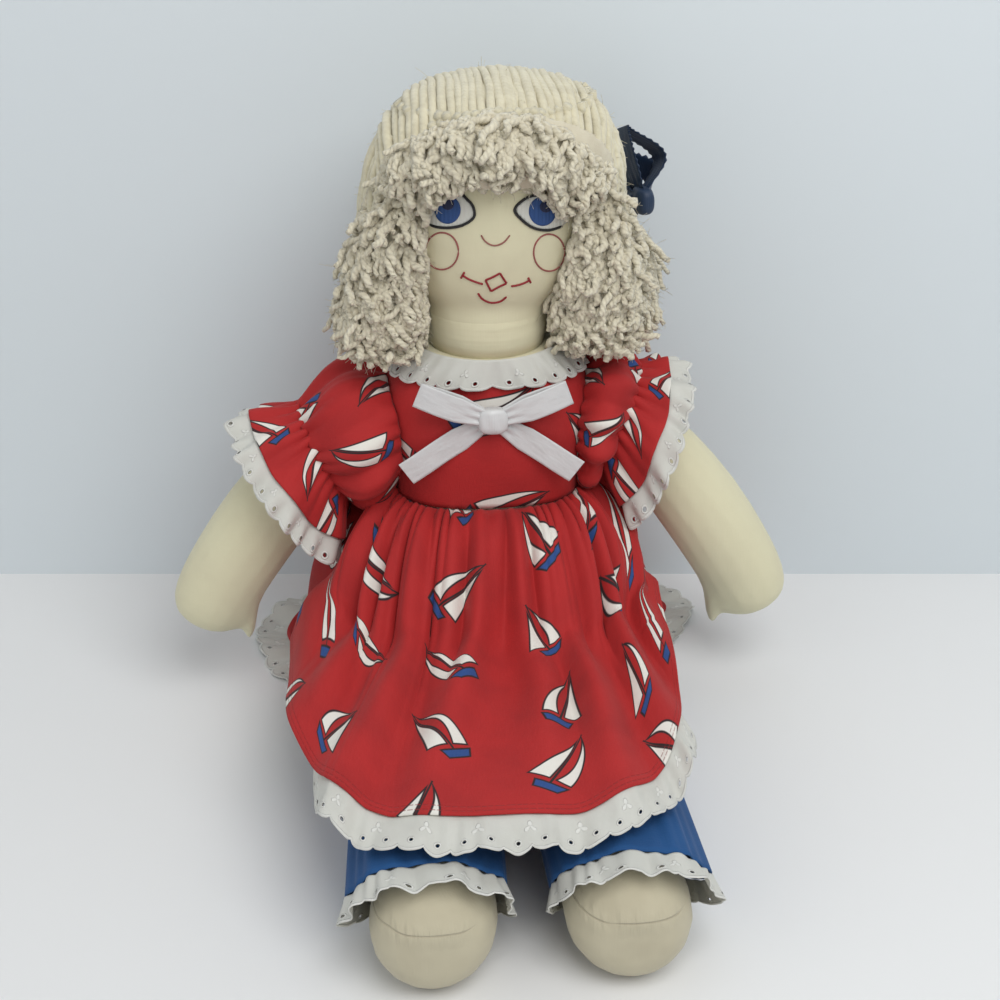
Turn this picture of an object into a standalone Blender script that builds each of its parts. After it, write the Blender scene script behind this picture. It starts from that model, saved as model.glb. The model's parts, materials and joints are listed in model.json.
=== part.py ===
"""A seated rag doll with yarn hair, a gathered dress, ribbon bows and ruffled pants.

Metres, +Z up. The doll faces -Y and sits on the ground at Z zero, so its own left side is at +X.
The origin lies on the seat, under the middle of the trunk.
"""

import math

import bmesh
import bpy
import numpy as np
from mathutils import Matrix, Vector

# Gaps and cloth
FIT = 0.0003
EASE = 0.0012
CLOTH = 0.0012
FLOOR_CUT = 0.0005
HEM_LIFT = 0.0026
CUTTER_REACH = 0.5
MERGE_DISTANCE = 0.00001

# Faces round the trunk and what is sewn round it, and round the neck that turns in it
TRUNK_SIDES = 20
NECK_SIDES = 40

# Trunk, a stuffed bag that is straight at the hip seam and round above it
SEAT_HALF_WIDTH = 0.050
SEAT_HALF_DEPTH = 0.029
SEAT_SETBACK = 0.012
HIP_HEIGHT = 0.030
HIP_HALF_WIDTH = 0.064
HIP_HALF_DEPTH = 0.044
BELLY_HEIGHT = 0.075
BELLY_HALF_WIDTH = 0.065
BELLY_HALF_DEPTH = 0.047
WAIST_HEIGHT = 0.143
WAIST_HALF_WIDTH = 0.055
WAIST_HALF_DEPTH = 0.041
CHEST_HEIGHT = 0.192
CHEST_HALF_WIDTH = 0.060
CHEST_HALF_DEPTH = 0.044
SHOULDER_HEIGHT = 0.222
SHOULDER_HALF_WIDTH = 0.055
SHOULDER_HALF_DEPTH = 0.039
NECKLINE_HEIGHT = 0.238
NECKLINE_HALF_WIDTH = 0.041
NECKLINE_HALF_DEPTH = 0.0385
TRUNK_POWERS = (5.0, 5.0, 3.2, 2.6, 2.6, 2.4, 2.0)

# Neck, a turned plug whose round foot sits in a dish in the shoulders
NECK_RADIUS = 0.0365
NECK_PIVOT_RISE = 0.012
NECK_STAND = 0.024

# Head
HEAD_HEIGHT = 0.120
HEAD_HALF_WIDTH = 0.058
HEAD_HALF_DEPTH = 0.051
HEAD_LEAN_SHARE = 0.05
HEAD_RING_SHARES = (
    (0.00, 0.60, 0.60),
    (0.08, 0.76, 0.78),
    (0.22, 0.92, 0.93),
    (0.42, 1.02, 1.04),
    (0.62, 1.03, 1.04),
    (0.80, 0.92, 0.94),
    (0.93, 0.66, 0.68),
    (1.00, 0.34, 0.36),
)

# Arms, sewn flat at the shoulder and bowed outwards
SHOULDER_SEAM_HEIGHT = 0.203
GATHER_ROOT_RADIUS = 0.0040
GATHER_SEAT_SHARE = 1.33
GATHER_END_SHARE = 0.70
GATHER_LENGTH = 0.0135
GATHER_HALF_HEIGHT = 0.0110
GATHER_THICKNESS = 0.0024
HINGE_GAP = 0.0009
ARM_RADIUS = 0.026
ARM_LENGTH = 0.180
ARM_SLOPES = {"left": math.radians(43), "right": math.radians(40)}
HAND_SLOPES = {"left": math.radians(66), "right": math.radians(64)}
ARM_FORWARD = 0.012
ARM_RING_SHARES = (
    (0.00, 0.40, 0.06),
    (0.06, 0.60, 0.36),
    (0.16, 0.86, 0.74),
    (0.30, 0.98, 0.94),
    (0.52, 1.06, 1.03),
    (0.72, 1.04, 0.98),
    (0.84, 1.02, 0.90),
    (0.94, 0.94, 0.80),
    (1.00, 0.56, 0.50),
)
THUMB_LENGTH = 0.018
THUMB_WIDTH_SHARE = 0.62
THUMB_LEAN_SHARE = 0.86
THUMB_END_SHARES = (0.84, 0.94)

# Legs, sewn flat at the hip
HIP_SEAM_OFFSET = 0.040
FOOT_OFFSET = 0.051
LEG_RADIUS = 0.0262
LEG_LIFT = 0.0038
FOOT_RADIUS = 0.0318
LEG_LENGTH = 0.263
LEG_PEAK_SHARE = 0.9
LEG_RING_SHARES = (
    (0.00, 0.66, 0.05),
    (0.09, 0.84, 0.46),
    (0.20, 1.00, 0.94),
    (0.45, 1.04, 1.02),
    (0.72, 1.00, 1.00),
)
FOOT_RING_SHARES = (
    (0.16, 0.93, 0.93),
    (0.42, 1.04, 1.05),
    (0.72, 1.02, 1.03),
    (0.93, 0.74, 0.76),
    (1.00, 0.40, 0.40),
)
FOOT_LENGTH = 0.066

# Hair
HAIR_THICKNESS = 0.012
HAIR_TOP_THICKNESS = 0.014
HAIR_HANG_SHARE = 0.02
HAIR_FRONT_SETBACK = 0.010
HAIR_FRONT_LEAN = math.radians(34)
CROWN_RING_SHARES = (
    (0.00, 0.84, 0.94),
    (0.10, 1.05, 1.08),
    (0.35, 1.10, 1.10),
    (0.60, 1.05, 1.08),
    (0.80, 0.93, 0.97),
    (0.94, 0.66, 0.72),
    (1.00, 0.36, 0.40),
)
FRINGE_HALF_THICKNESS = 0.0150
FRINGE_HALF_HEIGHT = 0.0230
FRINGE_HALF_SPREAD = math.radians(72)
FRINGE_HEIGHT_SHARE = 0.85
FRINGE_END_SHARE = 0.72
LOCK_STAND = 0.0065
LOCK_OFFSET = 0.055
LOCK_HALF_WIDTH = 0.0225
LOCK_HALF_DEPTH = 0.020
LOCK_FORWARD = 0.021
LOCK_RING_SHARES = (
    (0.00, 0.50, 0.60, -0.20),
    (0.14, 0.88, 0.92, -0.08),
    (0.40, 1.06, 1.06, 0.16),
    (0.70, 1.14, 1.08, 0.30),
    (0.92, 0.96, 0.84, 0.34),
    (1.00, 0.56, 0.50, 0.30),
)
TAIL_LENGTH = 0.076
TAIL_RADIUS = 0.0185
TAIL_BEARING = math.radians(18)
TAIL_STAND_SHARE = 0.30
TAIL_TIE_SHARE = 0.37
TAIL_RING_SHARES = (
    (0.00, 0.42),
    (0.16, 0.86),
    (0.45, 1.12),
    (0.75, 1.02),
    (0.94, 0.66),
    (1.00, 0.34),
)

# Dress
LACE_DEPTH = 0.022
SLEEVE_LACE_DEPTH = 0.015
NECK_LACE_DROP = 0.0175
NECK_LACE_WAVE = 0.0024
ARMHOLE_HALF_HEIGHT = 0.032
ARMHOLE_HALF_DEPTH = 0.030
ARMHOLE_DROP = 0.019
ARMHOLE_HEIGHT = SHOULDER_SEAM_HEIGHT - ARMHOLE_DROP
PUFF_ROW_SHARES = (0.30, 0.75)
RUFFLE_ROW_SHARES = (0.0, 0.30, 1.0)
SLEEVE_REACHES = {"left": 0.0054, "right": 0.0342}
GATHER_TILTS = {"left": math.radians(30), "right": math.radians(28)}
SLEEVE_PUFF = 0.013
RUFFLE_REACH = 0.026
RUFFLE_RADIUS = 0.046
RUFFLE_WAVE = 0.0030
RUFFLE_TILTS = {"left": math.radians(20), "right": math.radians(34)}
SKIRT_HALF_WIDTH = 0.160
SKIRT_FRONT_HALF_WIDTH = 0.112
SKIRT_NARROWING = 0.080
SKIRT_SPREAD_START = 0.075
SKIRT_DRIFT = 0.012
SKIRT_FRONT = 0.262
SKIRT_BACK = 0.112
SKIRT_POWER = 3.0
SKIRT_SIDE_FALL = 0.062
SKIRT_FRONT_FALL = 0.094
SKIRT_FULLNESS_START = 0.060
SKIRT_SHOULDER = 0.0040
HEM_LACE_DROOP = 0.004
FRONT_HOLD_SHARE = 0.62
LAP_CLEARANCE = 0.0075
LAP_RISE = 0.006
LAP_EDGE = 0.046
SKIRT_FOLD = 0.0042
SKIRT_FOLDS = 11
SKIRT_ROW_SHARES = (0.0, 0.08, 0.20, 0.38, 0.58, 0.80, 1.0)
SKIRT_ROUNDING = 0.0048
SKIRT_STAND_SHARE = 1.25

# The hem lace is turned in along the doll's right side
LACE_TURN_FRONT = -0.232
LACE_TURN_BACK = 0.012
LACE_TURN_FADE = 0.045
LACE_TURN_SHARE = 1.30
LACE_DROP_SHARE = 0.85

# Pants
PANTS_RISE = 0.115
PANTS_HALF_WIDTH = 0.0395
PANTS_HALF_HEIGHT = 0.0320
PANTS_FRONT = 0.276
PANTS_SLANT = 0.060
PANTS_LACE_DEPTH = 0.019
PANTS_WAVE = 0.0016
PANTS_POWER = 2.3
PANTS_SEAM_SHARE = 0.7
LEG_HOLE_RADIUS = 0.030

# Ribbons
RIBBON = 0.0008
KNOT_GRIP_SHARE = 0.25
KNOT_ROUND_SHARE = 0.22
KNOT_LENGTH_SHARE = 1.15
KNOT_WIDTH_SHARE = 1.05
ROOT_RISE_SHARE = 0.11
TAIL_DROP_SHARES = (0.44, 0.30)
PINCH_SHARE = 0.62
LOOP_PINCH_SHARE = 2.5
TAIL_PINCH_SHARE = 3.0
LOOP_TIP_SHARE = 1.6
LOOP_PEAK_SHARE = 1.3
CHEST_BOW_HEIGHT = 0.205
CHEST_RIBBON_WIDTH = 0.0155
CHEST_LOOP_LENGTH = 0.043
CHEST_TAIL_LENGTH = 0.058
CHEST_BOW_DEPTH = 0.010
CHEST_LOOP_SWELLS = (0.0018, 0.0018)
CHEST_LOOP_LEANS = (0.0, 0.0)
CHEST_BOW_TURNS = (158, 20, 214, -36)
HAIR_RIBBON_WIDTH = 0.0155
HAIR_LOOP_LENGTH = 0.040
HAIR_TAIL_LENGTH = 0.054
HAIR_BOW_DEPTH = 0.011
HAIR_BOW_STAND = 0.0175
HAIR_BOW_RISE = 0.004
HAIR_LOOP_SWELLS = (0.021, 0.001)
HAIR_LOOP_LEANS = (0.007, 0.0)
HAIR_BOW_TURNS = (96, 24, -4, -46)

SIDES = {"left": 1.0, "right": -1.0}

COLOURS = {
    "muslin": ((0.80, 0.76, 0.58), 0.92),
    "yarn": ((0.72, 0.66, 0.50), 0.95),
    "dress_cotton": ((0.62, 0.03, 0.04), 0.85),
    "lace": ((0.88, 0.86, 0.78), 0.88),
    "satin": ((0.90, 0.90, 0.92), 0.35),
    "navy_ribbon": ((0.02, 0.04, 0.10), 0.55),
    "pants_cotton": ((0.02, 0.12, 0.42), 0.85),
}

parts = bpy.data.collections.new("rag_doll")
cutters = bpy.data.collections.new("cutters")


def clear_scene():
    """Removes what the startup scene holds and adds the two collections."""
    for found in list(bpy.data.objects):
        bpy.data.objects.remove(found, do_unlink=True)
    for collection in (parts, cutters):
        bpy.context.scene.collection.children.link(collection)


def finish(name, kind):
    """One Principled material for one object."""
    colour, roughness = COLOURS[kind]
    material = bpy.data.materials.new(name + "_" + kind)
    material.use_nodes = True
    shader = material.node_tree.nodes["Principled BSDF"]
    shader.inputs["Base Color"].default_value = (*colour, 1.0)
    shader.inputs["Roughness"].default_value = roughness
    shader.inputs["Metallic"].default_value = 0.0
    material.diffuse_color = (*colour, 1.0)
    return material


def add_mesh(name, mesh, kind, pivot=None):
    """Places a world-space mesh among the parts, carried by the empty on its joint."""
    obj = bpy.data.objects.new(name, mesh)
    parts.objects.link(obj)
    mesh.materials.append(finish(name, kind))
    mesh.shade_smooth()
    mesh.set_sharp_from_angle(angle=math.radians(50))
    if pivot:
        mesh.transform(Matrix.Translation(-Vector(pivot["place"])))
        obj.parent = pivot
    return obj


def add_pivot(name, place, parent=None):
    """An empty at a joint, with its world place kept beside it."""
    pivot = bpy.data.objects.new(name, None)
    parts.objects.link(pivot)
    pivot["place"] = tuple(place)
    pivot.location = Vector(place) - (Vector(parent["place"]) if parent else Vector((0, 0, 0)))
    pivot.parent = parent
    return pivot


def mesh_from_rows(name, rows, closed=True, caps=False):
    """A mesh through rows of points. Rows run away from the reader and columns run anticlockwise."""
    shape = bmesh.new()
    grid = [[shape.verts.new(point) for point in row] for row in rows]
    count = len(grid[0])
    for near, far in zip(grid, grid[1:]):
        for column in range(count if closed else count - 1):
            beside = (column + 1) % count
            shape.faces.new((near[column], far[column], far[beside], near[beside]))
    if caps:
        shape.faces.new(grid[0])
        shape.faces.new(grid[-1][::-1])
        bmesh.ops.recalc_face_normals(shape, faces=shape.faces)
    mesh = bpy.data.meshes.new(name)
    shape.to_mesh(mesh)
    shape.free()
    return mesh


def stuffed(name, rows, kind, pivot=None, level=1):
    """A closed soft form: a coarse cage through rings, rounded by a Subdivision Surface."""
    obj = add_mesh(name, mesh_from_rows(name, rows, caps=True), kind, pivot)
    smooth(obj, level)
    return obj


def smooth(obj, level):
    """Rounds a cage."""
    rounding = obj.modifiers.new("rounding", "SUBSURF")
    rounding.levels = level
    rounding.render_levels = level
    rounding.use_limit_surface = False


def sewn(name, rows, kind, pivot=None, closed=True, thickness=CLOTH, centred=False):
    """A sheet of cloth through rows of points, thickened away from the body."""
    obj = add_mesh(name, mesh_from_rows(name, rows, closed), kind, pivot)
    thicken(obj, thickness, centred)
    return obj


def thicken(obj, thickness, centred=False):
    """Gives an open surface its cloth."""
    shell = obj.modifiers.new("cloth", "SOLIDIFY")
    shell.thickness = thickness
    shell.offset = 0.0 if centred else 1.0
    shell.use_even_offset = True


def cut(obj, cutter):
    """Takes a cutter away from an object."""
    step = obj.modifiers.new("cut_" + cutter.name, "BOOLEAN")
    step.operation = "DIFFERENCE"
    step.solver = "EXACT"
    step.object = cutter


def hide_as_cutter(obj):
    """Moves an object among the cutters."""
    for collection in list(obj.users_collection):
        collection.objects.unlink(obj)
    cutters.objects.link(obj)
    obj.hide_render = True
    obj.display_type = "WIRE"
    return obj


def block_cutter(name, centre, size, lean=0.0):
    """A box-shaped cutter, leant about X."""
    bpy.ops.mesh.primitive_cube_add(size=1.0)
    block = bpy.context.object
    block.name = name
    turn = Matrix.Rotation(lean, 4, "X")
    block.data.transform(Matrix.Translation(centre) @ turn @ Matrix.Diagonal((*size, 1.0)))
    return hide_as_cutter(block)


def bent_ring(centre, side, rise, half_side, half_rise, count, power=2.0, start=0.5):
    """Points round a superellipse that lies across the side and rise directions."""
    points = []
    for step in range(count):
        angle = math.tau * (step + start) / count
        across = math.copysign(abs(math.cos(angle)) ** (2 / power), math.cos(angle))
        along = math.copysign(abs(math.sin(angle)) ** (2 / power), math.sin(angle))
        points.append(Vector(centre) + half_side * across * Vector(side) + half_rise * along * Vector(rise))
    return points


def cage_share(count):
    """How much of a cage ring's radius is left after one subdivision."""
    return 0.75 + 0.25 * math.cos(math.tau / count)


# Trunk sections


def levels(first, last, count):
    """Evenly spaced heights from one to another."""
    return [first + (last - first) * step / (count - 1) for step in range(count)]


def trunk_keys():
    """Rows of height, half width, half depth, setback and squareness from the seat to the neckline."""
    sizes = (
        (trunk_bottom(), SEAT_HALF_WIDTH, SEAT_HALF_DEPTH, SEAT_SETBACK),
        (HIP_HEIGHT, HIP_HALF_WIDTH, HIP_HALF_DEPTH, 0.0),
        (BELLY_HEIGHT, BELLY_HALF_WIDTH, BELLY_HALF_DEPTH, 0.0),
        (WAIST_HEIGHT, WAIST_HALF_WIDTH, WAIST_HALF_DEPTH, 0.0),
        (CHEST_HEIGHT, CHEST_HALF_WIDTH, CHEST_HALF_DEPTH, 0.0),
        (SHOULDER_HEIGHT, SHOULDER_HALF_WIDTH, SHOULDER_HALF_DEPTH, 0.0),
        (NECKLINE_HEIGHT, NECKLINE_HALF_WIDTH, NECKLINE_HALF_DEPTH, 0.0),
    )
    return np.array([(*row, power) for row, power in zip(sizes, TRUNK_POWERS)])


def trunk_bottom():
    """The underside of the trunk, which the pants carry clear of the ground."""
    return CLOTH - FLOOR_CUT + EASE


def trunk_section(height):
    """Half width, half depth, setback and squareness of the trunk at a height, on a smooth curve."""
    keys = trunk_keys()
    heights = keys[:, 0]
    height = min(max(height, heights[0]), heights[-1])
    place = min(int(np.searchsorted(heights, height, side="right")) - 1, len(heights) - 2)
    span = heights[place + 1] - heights[place]
    share = (height - heights[place]) / span
    slopes = np.gradient(keys[:, 1:], heights, axis=0)
    slopes[1] = 0
    low, high = keys[place, 1:], keys[place + 1, 1:]
    section = (
        low * (1 + 2 * share) * (1 - share) ** 2
        + high * share**2 * (3 - 2 * share)
        + span * slopes[place] * share * (1 - share) ** 2
        - span * slopes[place + 1] * share**2 * (1 - share)
    )
    return [float(value) for value in section]


def trunk_ring(height, offset, count, level=None):
    """A ring round the trunk, pushed out by an offset. It may be drawn at another level."""
    half_width, half_depth, setback, power = trunk_section(height)
    centre = (0, setback, height if level is None else level)
    return bent_ring(centre, (1, 0, 0), (0, 1, 0), half_width + offset, half_depth + offset, count, power)


def trunk_front(across, height, offset):
    """How far the front of the trunk stands forward at a place, with an offset."""
    half_width, half_depth, setback, power = trunk_section(height)
    share = min(abs(across) / (half_width + offset), 1.0)
    return (half_depth + offset) * (1 - share**power) ** (1 / power) - setback


def trunk_side(back, height, offset):
    """How far the side of the trunk stands out at a place, with an offset."""
    half_width, half_depth, setback, power = trunk_section(height)
    share = min(abs(back - setback) / (half_depth + offset), 1.0)
    return (half_width + offset) * (1 - share**power) ** (1 / power)


def neck_pivot_height():
    """The middle of the round foot of the neck."""
    return NECKLINE_HEIGHT + NECK_PIVOT_RISE


def head_bottom():
    """The seam where the head sits on the neck."""
    return NECKLINE_HEIGHT + NECK_STAND + FIT


def lean(height):
    """How far the leaning head lies to the doll's left at a height."""
    return HEAD_LEAN_SHARE * (height - NECKLINE_HEIGHT)


def ball_cutter(name, centre, radius):
    """A round cutter."""
    faces = {"segments": NECK_SIDES, "ring_count": NECK_SIDES // 2}
    bpy.ops.mesh.primitive_uv_sphere_add(**faces, radius=radius, location=centre)
    ball = bpy.context.object
    ball.name = name
    return hide_as_cutter(ball)


def make_trunk():
    """The stuffed trunk, with a dish at the top for the neck."""
    heights = levels(trunk_bottom(), HIP_HEIGHT, 3)[:-1]
    heights += levels(HIP_HEIGHT, WAIST_HEIGHT, 4)[:-1]
    heights += levels(WAIST_HEIGHT, NECKLINE_HEIGHT, 6)
    rows = [trunk_ring(height, 0.0, TRUNK_SIDES) for height in heights]
    trunk = add_mesh("torso", mesh_from_rows("torso", rows, caps=True), "muslin")
    dish = ball_cutter("neck_dish", (0, 0, neck_pivot_height()), NECK_RADIUS + FIT)
    cut(trunk, dish)


def make_neck(pivot):
    """The turned neck: a flat top, a straight side and a round foot."""
    centre = neck_pivot_height()
    profile = [(0.0, head_bottom() - FIT), (NECK_RADIUS, head_bottom() - FIT)]
    steps = NECK_SIDES // 4
    for step in range(steps + 1):
        angle = math.pi / 2 * step / steps
        profile.append((NECK_RADIUS * math.cos(angle), centre - NECK_RADIUS * math.sin(angle)))
    shape = bmesh.new()
    verts = [shape.verts.new((max(radius, 0.0), 0, height)) for radius, height in profile[:-1]]
    verts.append(shape.verts.new((0, 0, centre - NECK_RADIUS)))
    for first, second in zip(verts, verts[1:]):
        shape.edges.new((first, second))
    mesh = bpy.data.meshes.new("neck")
    shape.to_mesh(mesh)
    shape.free()
    neck = add_mesh("neck", mesh, "muslin", pivot)
    turn = neck.modifiers.new("turned", "SCREW")
    turn.axis = "Z"
    turn.angle = math.tau
    turn.steps = NECK_SIDES
    turn.render_steps = NECK_SIDES
    turn.use_merge_vertices = True
    turn.merge_threshold = MERGE_DISTANCE
    turn.use_normal_calculate = True


def head_rows(offset):
    """Rings of the head's cage, pushed out by an offset."""
    count = 10
    grown = cage_share(count)
    rows = []
    for rise, width, depth in HEAD_RING_SHARES:
        height = head_bottom() + rise * HEAD_HEIGHT + (2 * rise - 1) * offset
        half_width = (width * HEAD_HALF_WIDTH + offset) / grown
        half_depth = (depth * HEAD_HALF_DEPTH + offset) / grown
        centre = (lean(height), 0, height)
        rows.append(bent_ring(centre, (1, 0, 0), (0, 1, 0), half_width, half_depth, count))
    return rows


def make_head(pivot):
    """The stuffed head, and the cutter that fits hair to it."""
    stuffed("head", head_rows(0.0), "muslin", pivot)
    form = stuffed("head_form", head_rows(2 * FIT), "muslin")
    return hide_as_cutter(form)


# Arms


def seam_start():
    """The shoulder seam on the doll's left: the axis that the arm lifts about."""
    side = trunk_side(0.0, SHOULDER_SEAM_HEIGHT, 0.0)
    return Vector((side + FIT + GATHER_ROOT_RADIUS, 0, SHOULDER_SEAM_HEIGHT))


def arm_direction(name, share):
    """The way the arm of a side points at a share of its length, drawn on the doll's left."""
    slope = ARM_SLOPES[name] + (HAND_SLOPES[name] - ARM_SLOPES[name]) * share
    return Vector((math.cos(slope), -ARM_FORWARD / ARM_LENGTH, -math.sin(slope))).normalized()


def arm_hinge(name):
    """The fold between the gather and the stuffed arm: the axis that the arm swings about."""
    return seam_start() + GATHER_LENGTH * arm_direction(name, 0.0)


def arm_place(name, share):
    """The arm's middle line, walked along its bow."""
    steps = 24
    place = arm_hinge(name) + HINGE_GAP * arm_direction(name, 0.0) * 0.5
    for step in range(steps):
        place += arm_direction(name, (step + 0.5) / steps * share) * (share * ARM_LENGTH / steps)
    return place


def arm_frame(name, share):
    """The directions along, across and through the arm."""
    along = arm_direction(name, share)
    through = Vector((0, 1, 0))
    across = along.cross(through).normalized()
    return along, across, across.cross(along).normalized()


def flip(rows, side):
    """Mirrors rows to the other side of the doll and keeps their faces outwards."""
    if side > 0:
        return rows
    return [[Vector((-point.x, point.y, point.z)) for point in row[::-1]] for row in rows]


def make_gather(name, side, pivot):
    """The flat, unstuffed top of the arm, between its seam and the stuffing."""
    along, across, through = arm_frame(name, 0.0)
    count = 8
    grown = cage_share(count)
    start = seam_start()
    reach = GATHER_LENGTH - HINGE_GAP / 2
    stations = (
        (-GATHER_ROOT_RADIUS * GATHER_SEAT_SHARE, GATHER_ROOT_RADIUS * GATHER_END_SHARE),
        (0.0, GATHER_ROOT_RADIUS),
        (reach / 2, (GATHER_ROOT_RADIUS + GATHER_HALF_HEIGHT) / 2),
        (reach, GATHER_HALF_HEIGHT),
    )
    rows = []
    for distance, half_height in stations:
        centre = start + distance * along
        half = half_height / grown
        rows.append(bent_ring(centre, across, through, half, GATHER_THICKNESS / 2 / grown, count))
    stuffed("arm_gather_" + name, flip(rows, side), "muslin", pivot)


def make_arm(name, side, pivot):
    """The stuffed arm with its mitten hand and thumb."""
    count = 8
    grown = cage_share(count)
    rows = []
    for share, width, depth in ARM_RING_SHARES:
        along, across, through = arm_frame(name, share)
        half_width = width * ARM_RADIUS / grown
        half_depth = depth * ARM_RADIUS / grown
        rows.append(bent_ring(arm_place(name, share), across, through, half_width, half_depth, count))
    mesh = mesh_from_rows("arm_" + name, flip(rows, side), caps=True)
    grow_thumb(mesh, name, side)
    obj = add_mesh("arm_" + name, mesh, "muslin", pivot)
    smooth(obj, 1)


def grow_thumb(mesh, name, side):
    """Draws the thumb out of the cage on the inner side of the palm."""
    along, across, _ = arm_frame(name, THUMB_LEAN_SHARE)
    near, far = [arm_place(name, share) for share in THUMB_END_SHARES]
    palm = (near + far) / 2 - across * ARM_RADIUS
    palm.x *= side
    inward = (along * 2 - across).normalized() * THUMB_LENGTH
    inward.x *= side
    shape = bmesh.new()
    shape.from_mesh(mesh)
    shape.faces.ensure_lookup_table()
    palm_face = min(shape.faces, key=lambda face: (face.calc_center_median() - palm).length)
    grown = bmesh.ops.extrude_discrete_faces(shape, faces=[palm_face])["faces"][0]
    middle = grown.calc_center_median()
    for vert in grown.verts:
        vert.co = middle + inward + (vert.co - middle) * THUMB_WIDTH_SHARE
    bmesh.ops.recalc_face_normals(shape, faces=shape.faces)
    shape.to_mesh(mesh)
    shape.free()


# Legs


def hip_seam():
    """The hip seam on the doll's left: the axis that the leg swings about."""
    inner = HIP_SEAM_OFFSET - LEG_RADIUS * LEG_RING_SHARES[0][1]
    forward = trunk_front(inner, HIP_HEIGHT, 0.0) + FIT + leg_root_half_height()
    return Vector((HIP_SEAM_OFFSET, -forward, HIP_HEIGHT))


def leg_root_half_height():
    """Half the thickness of the leg's flat sewn end."""
    return LEG_RADIUS * LEG_RING_SHARES[0][2]


def foot_height():
    """The middle of the foot, which stands on the ground."""
    return FOOT_RADIUS - FLOOR_CUT


def leg_place(distance):
    """A point on the leg's middle line, a distance from the hip seam."""
    share = distance / LEG_LENGTH
    seam = hip_seam()
    across = seam.x + (FOOT_OFFSET - seam.x) * share
    bow = LEG_LIFT * math.sin(math.pi * min(share / LEG_PEAK_SHARE, 1.0))
    return Vector((across, seam.y - distance, seam.z + (foot_height() - seam.z) * share + bow))


def leg_rows():
    """Rings of a leg's cage, from the hip seam to the sole."""
    count = 8
    grown = cage_share(count)
    ankle = LEG_LENGTH - FOOT_LENGTH
    stations = []
    for share, width, rise in LEG_RING_SHARES:
        stations.append((share * ankle, width * LEG_RADIUS, rise * LEG_RADIUS))
    for share, width, rise in FOOT_RING_SHARES:
        stations.append((ankle + share * FOOT_LENGTH, width * FOOT_RADIUS, rise * FOOT_RADIUS))
    rows = []
    for distance, half_width, half_height in stations:
        place = leg_place(max(distance - leg_root_half_height(), 0.0))
        place.y = hip_seam().y + leg_root_half_height() - distance
        rows.append(
            bent_ring(place, (1, 0, 0), (0, 0, 1), half_width / grown, half_height / grown, count)
        )
    return rows


def make_leg(name, side, pivot, ground):
    """The stuffed leg with its ball foot, flat where it stands."""
    leg = stuffed(name, flip(leg_rows(), side), "muslin", pivot)
    cut(leg, ground)


# Hair


def front_blocks():
    """Two slanted blocks that part the crown from the fringe and the side locks."""
    middle = head_bottom() + HEAD_HEIGHT / 2
    half = CUTTER_REACH / 2
    push = Vector((0, math.cos(HAIR_FRONT_LEAN), math.sin(HAIR_FRONT_LEAN)))
    seam = Vector((0, -HAIR_FRONT_SETBACK, middle))
    size = (CUTTER_REACH, CUTTER_REACH, CUTTER_REACH)
    front = block_cutter("hair_front_block", seam - push * half, size, HAIR_FRONT_LEAN)
    back = block_cutter("hair_back_block", seam + push * (half - FIT), size, HAIR_FRONT_LEAN)
    return front, back


def crown_ends():
    """The lowest and the highest level of the yarn cap."""
    return head_bottom() + HAIR_HANG_SHARE * HEAD_HEIGHT, head_bottom() + HEAD_HEIGHT + HAIR_TOP_THICKNESS


def crown_rows(offset):
    """Rings of the yarn cap, from its hanging ends to the top of the head, pushed out by an offset."""
    count = 10
    grown = cage_share(count)
    bottom, top = crown_ends()
    rows = []
    for rise, width, depth in CROWN_RING_SHARES:
        half_width = (width * (HEAD_HALF_WIDTH + HAIR_THICKNESS) + offset) / grown
        half_depth = (depth * (HEAD_HALF_DEPTH + HAIR_THICKNESS) + offset) / grown
        height = bottom + rise * (top - bottom) + (2 * rise - 1) * offset
        centre = (lean(height), 0, height)
        rows.append(bent_ring(centre, (1, 0, 0), (0, 1, 0), half_width, half_depth, count))
    return rows


def make_crown(pivot, head_form, front):
    """The cap of yarn over the top, back and sides of the head, and the cutter that fits hair to it."""
    crown = stuffed("hair_crown", crown_rows(0.0), "yarn", pivot)
    cut(crown, head_form)
    cut(crown, front)
    return hide_as_cutter(stuffed("crown_form", crown_rows(2 * FIT), "yarn"))


def make_fringe(pivot, head_form, back):
    """The curly roll across the forehead."""
    count = 8
    grown = cage_share(count)
    height = head_bottom() + FRINGE_HEIGHT_SHARE * HEAD_HEIGHT
    rows = []
    steps = 8
    for step in range(steps + 1):
        share = 2 * step / steps - 1
        angle = share * FRINGE_HALF_SPREAD
        out = Vector((math.sin(angle), -math.cos(angle), 0))
        reach = Vector(((HEAD_HALF_WIDTH + FRINGE_HALF_THICKNESS / 2) * out.x, HEAD_HALF_DEPTH * out.y, 0))
        place = reach + Vector((lean(height), 0, height - FRINGE_HALF_HEIGHT * share**2 / 2))
        fade = (FRINGE_END_SHARE + (1 - FRINGE_END_SHARE) * math.cos(share * math.pi / 2)) / grown
        rows.append(
            bent_ring(place, out, (0, 0, 1), FRINGE_HALF_THICKNESS * fade, FRINGE_HALF_HEIGHT * fade, count)
        )
    fringe = stuffed("hair_fringe", rows, "yarn", pivot)
    cut(fringe, head_form)
    cut(fringe, back)


def lock_top():
    """The height where a side lock starts, under the end of the fringe."""
    fringe_end = head_bottom() + FRINGE_HEIGHT_SHARE * HEAD_HEIGHT - FRINGE_HALF_HEIGHT / 2
    return fringe_end - FRINGE_HALF_HEIGHT * FRINGE_END_SHARE - FIT


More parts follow.
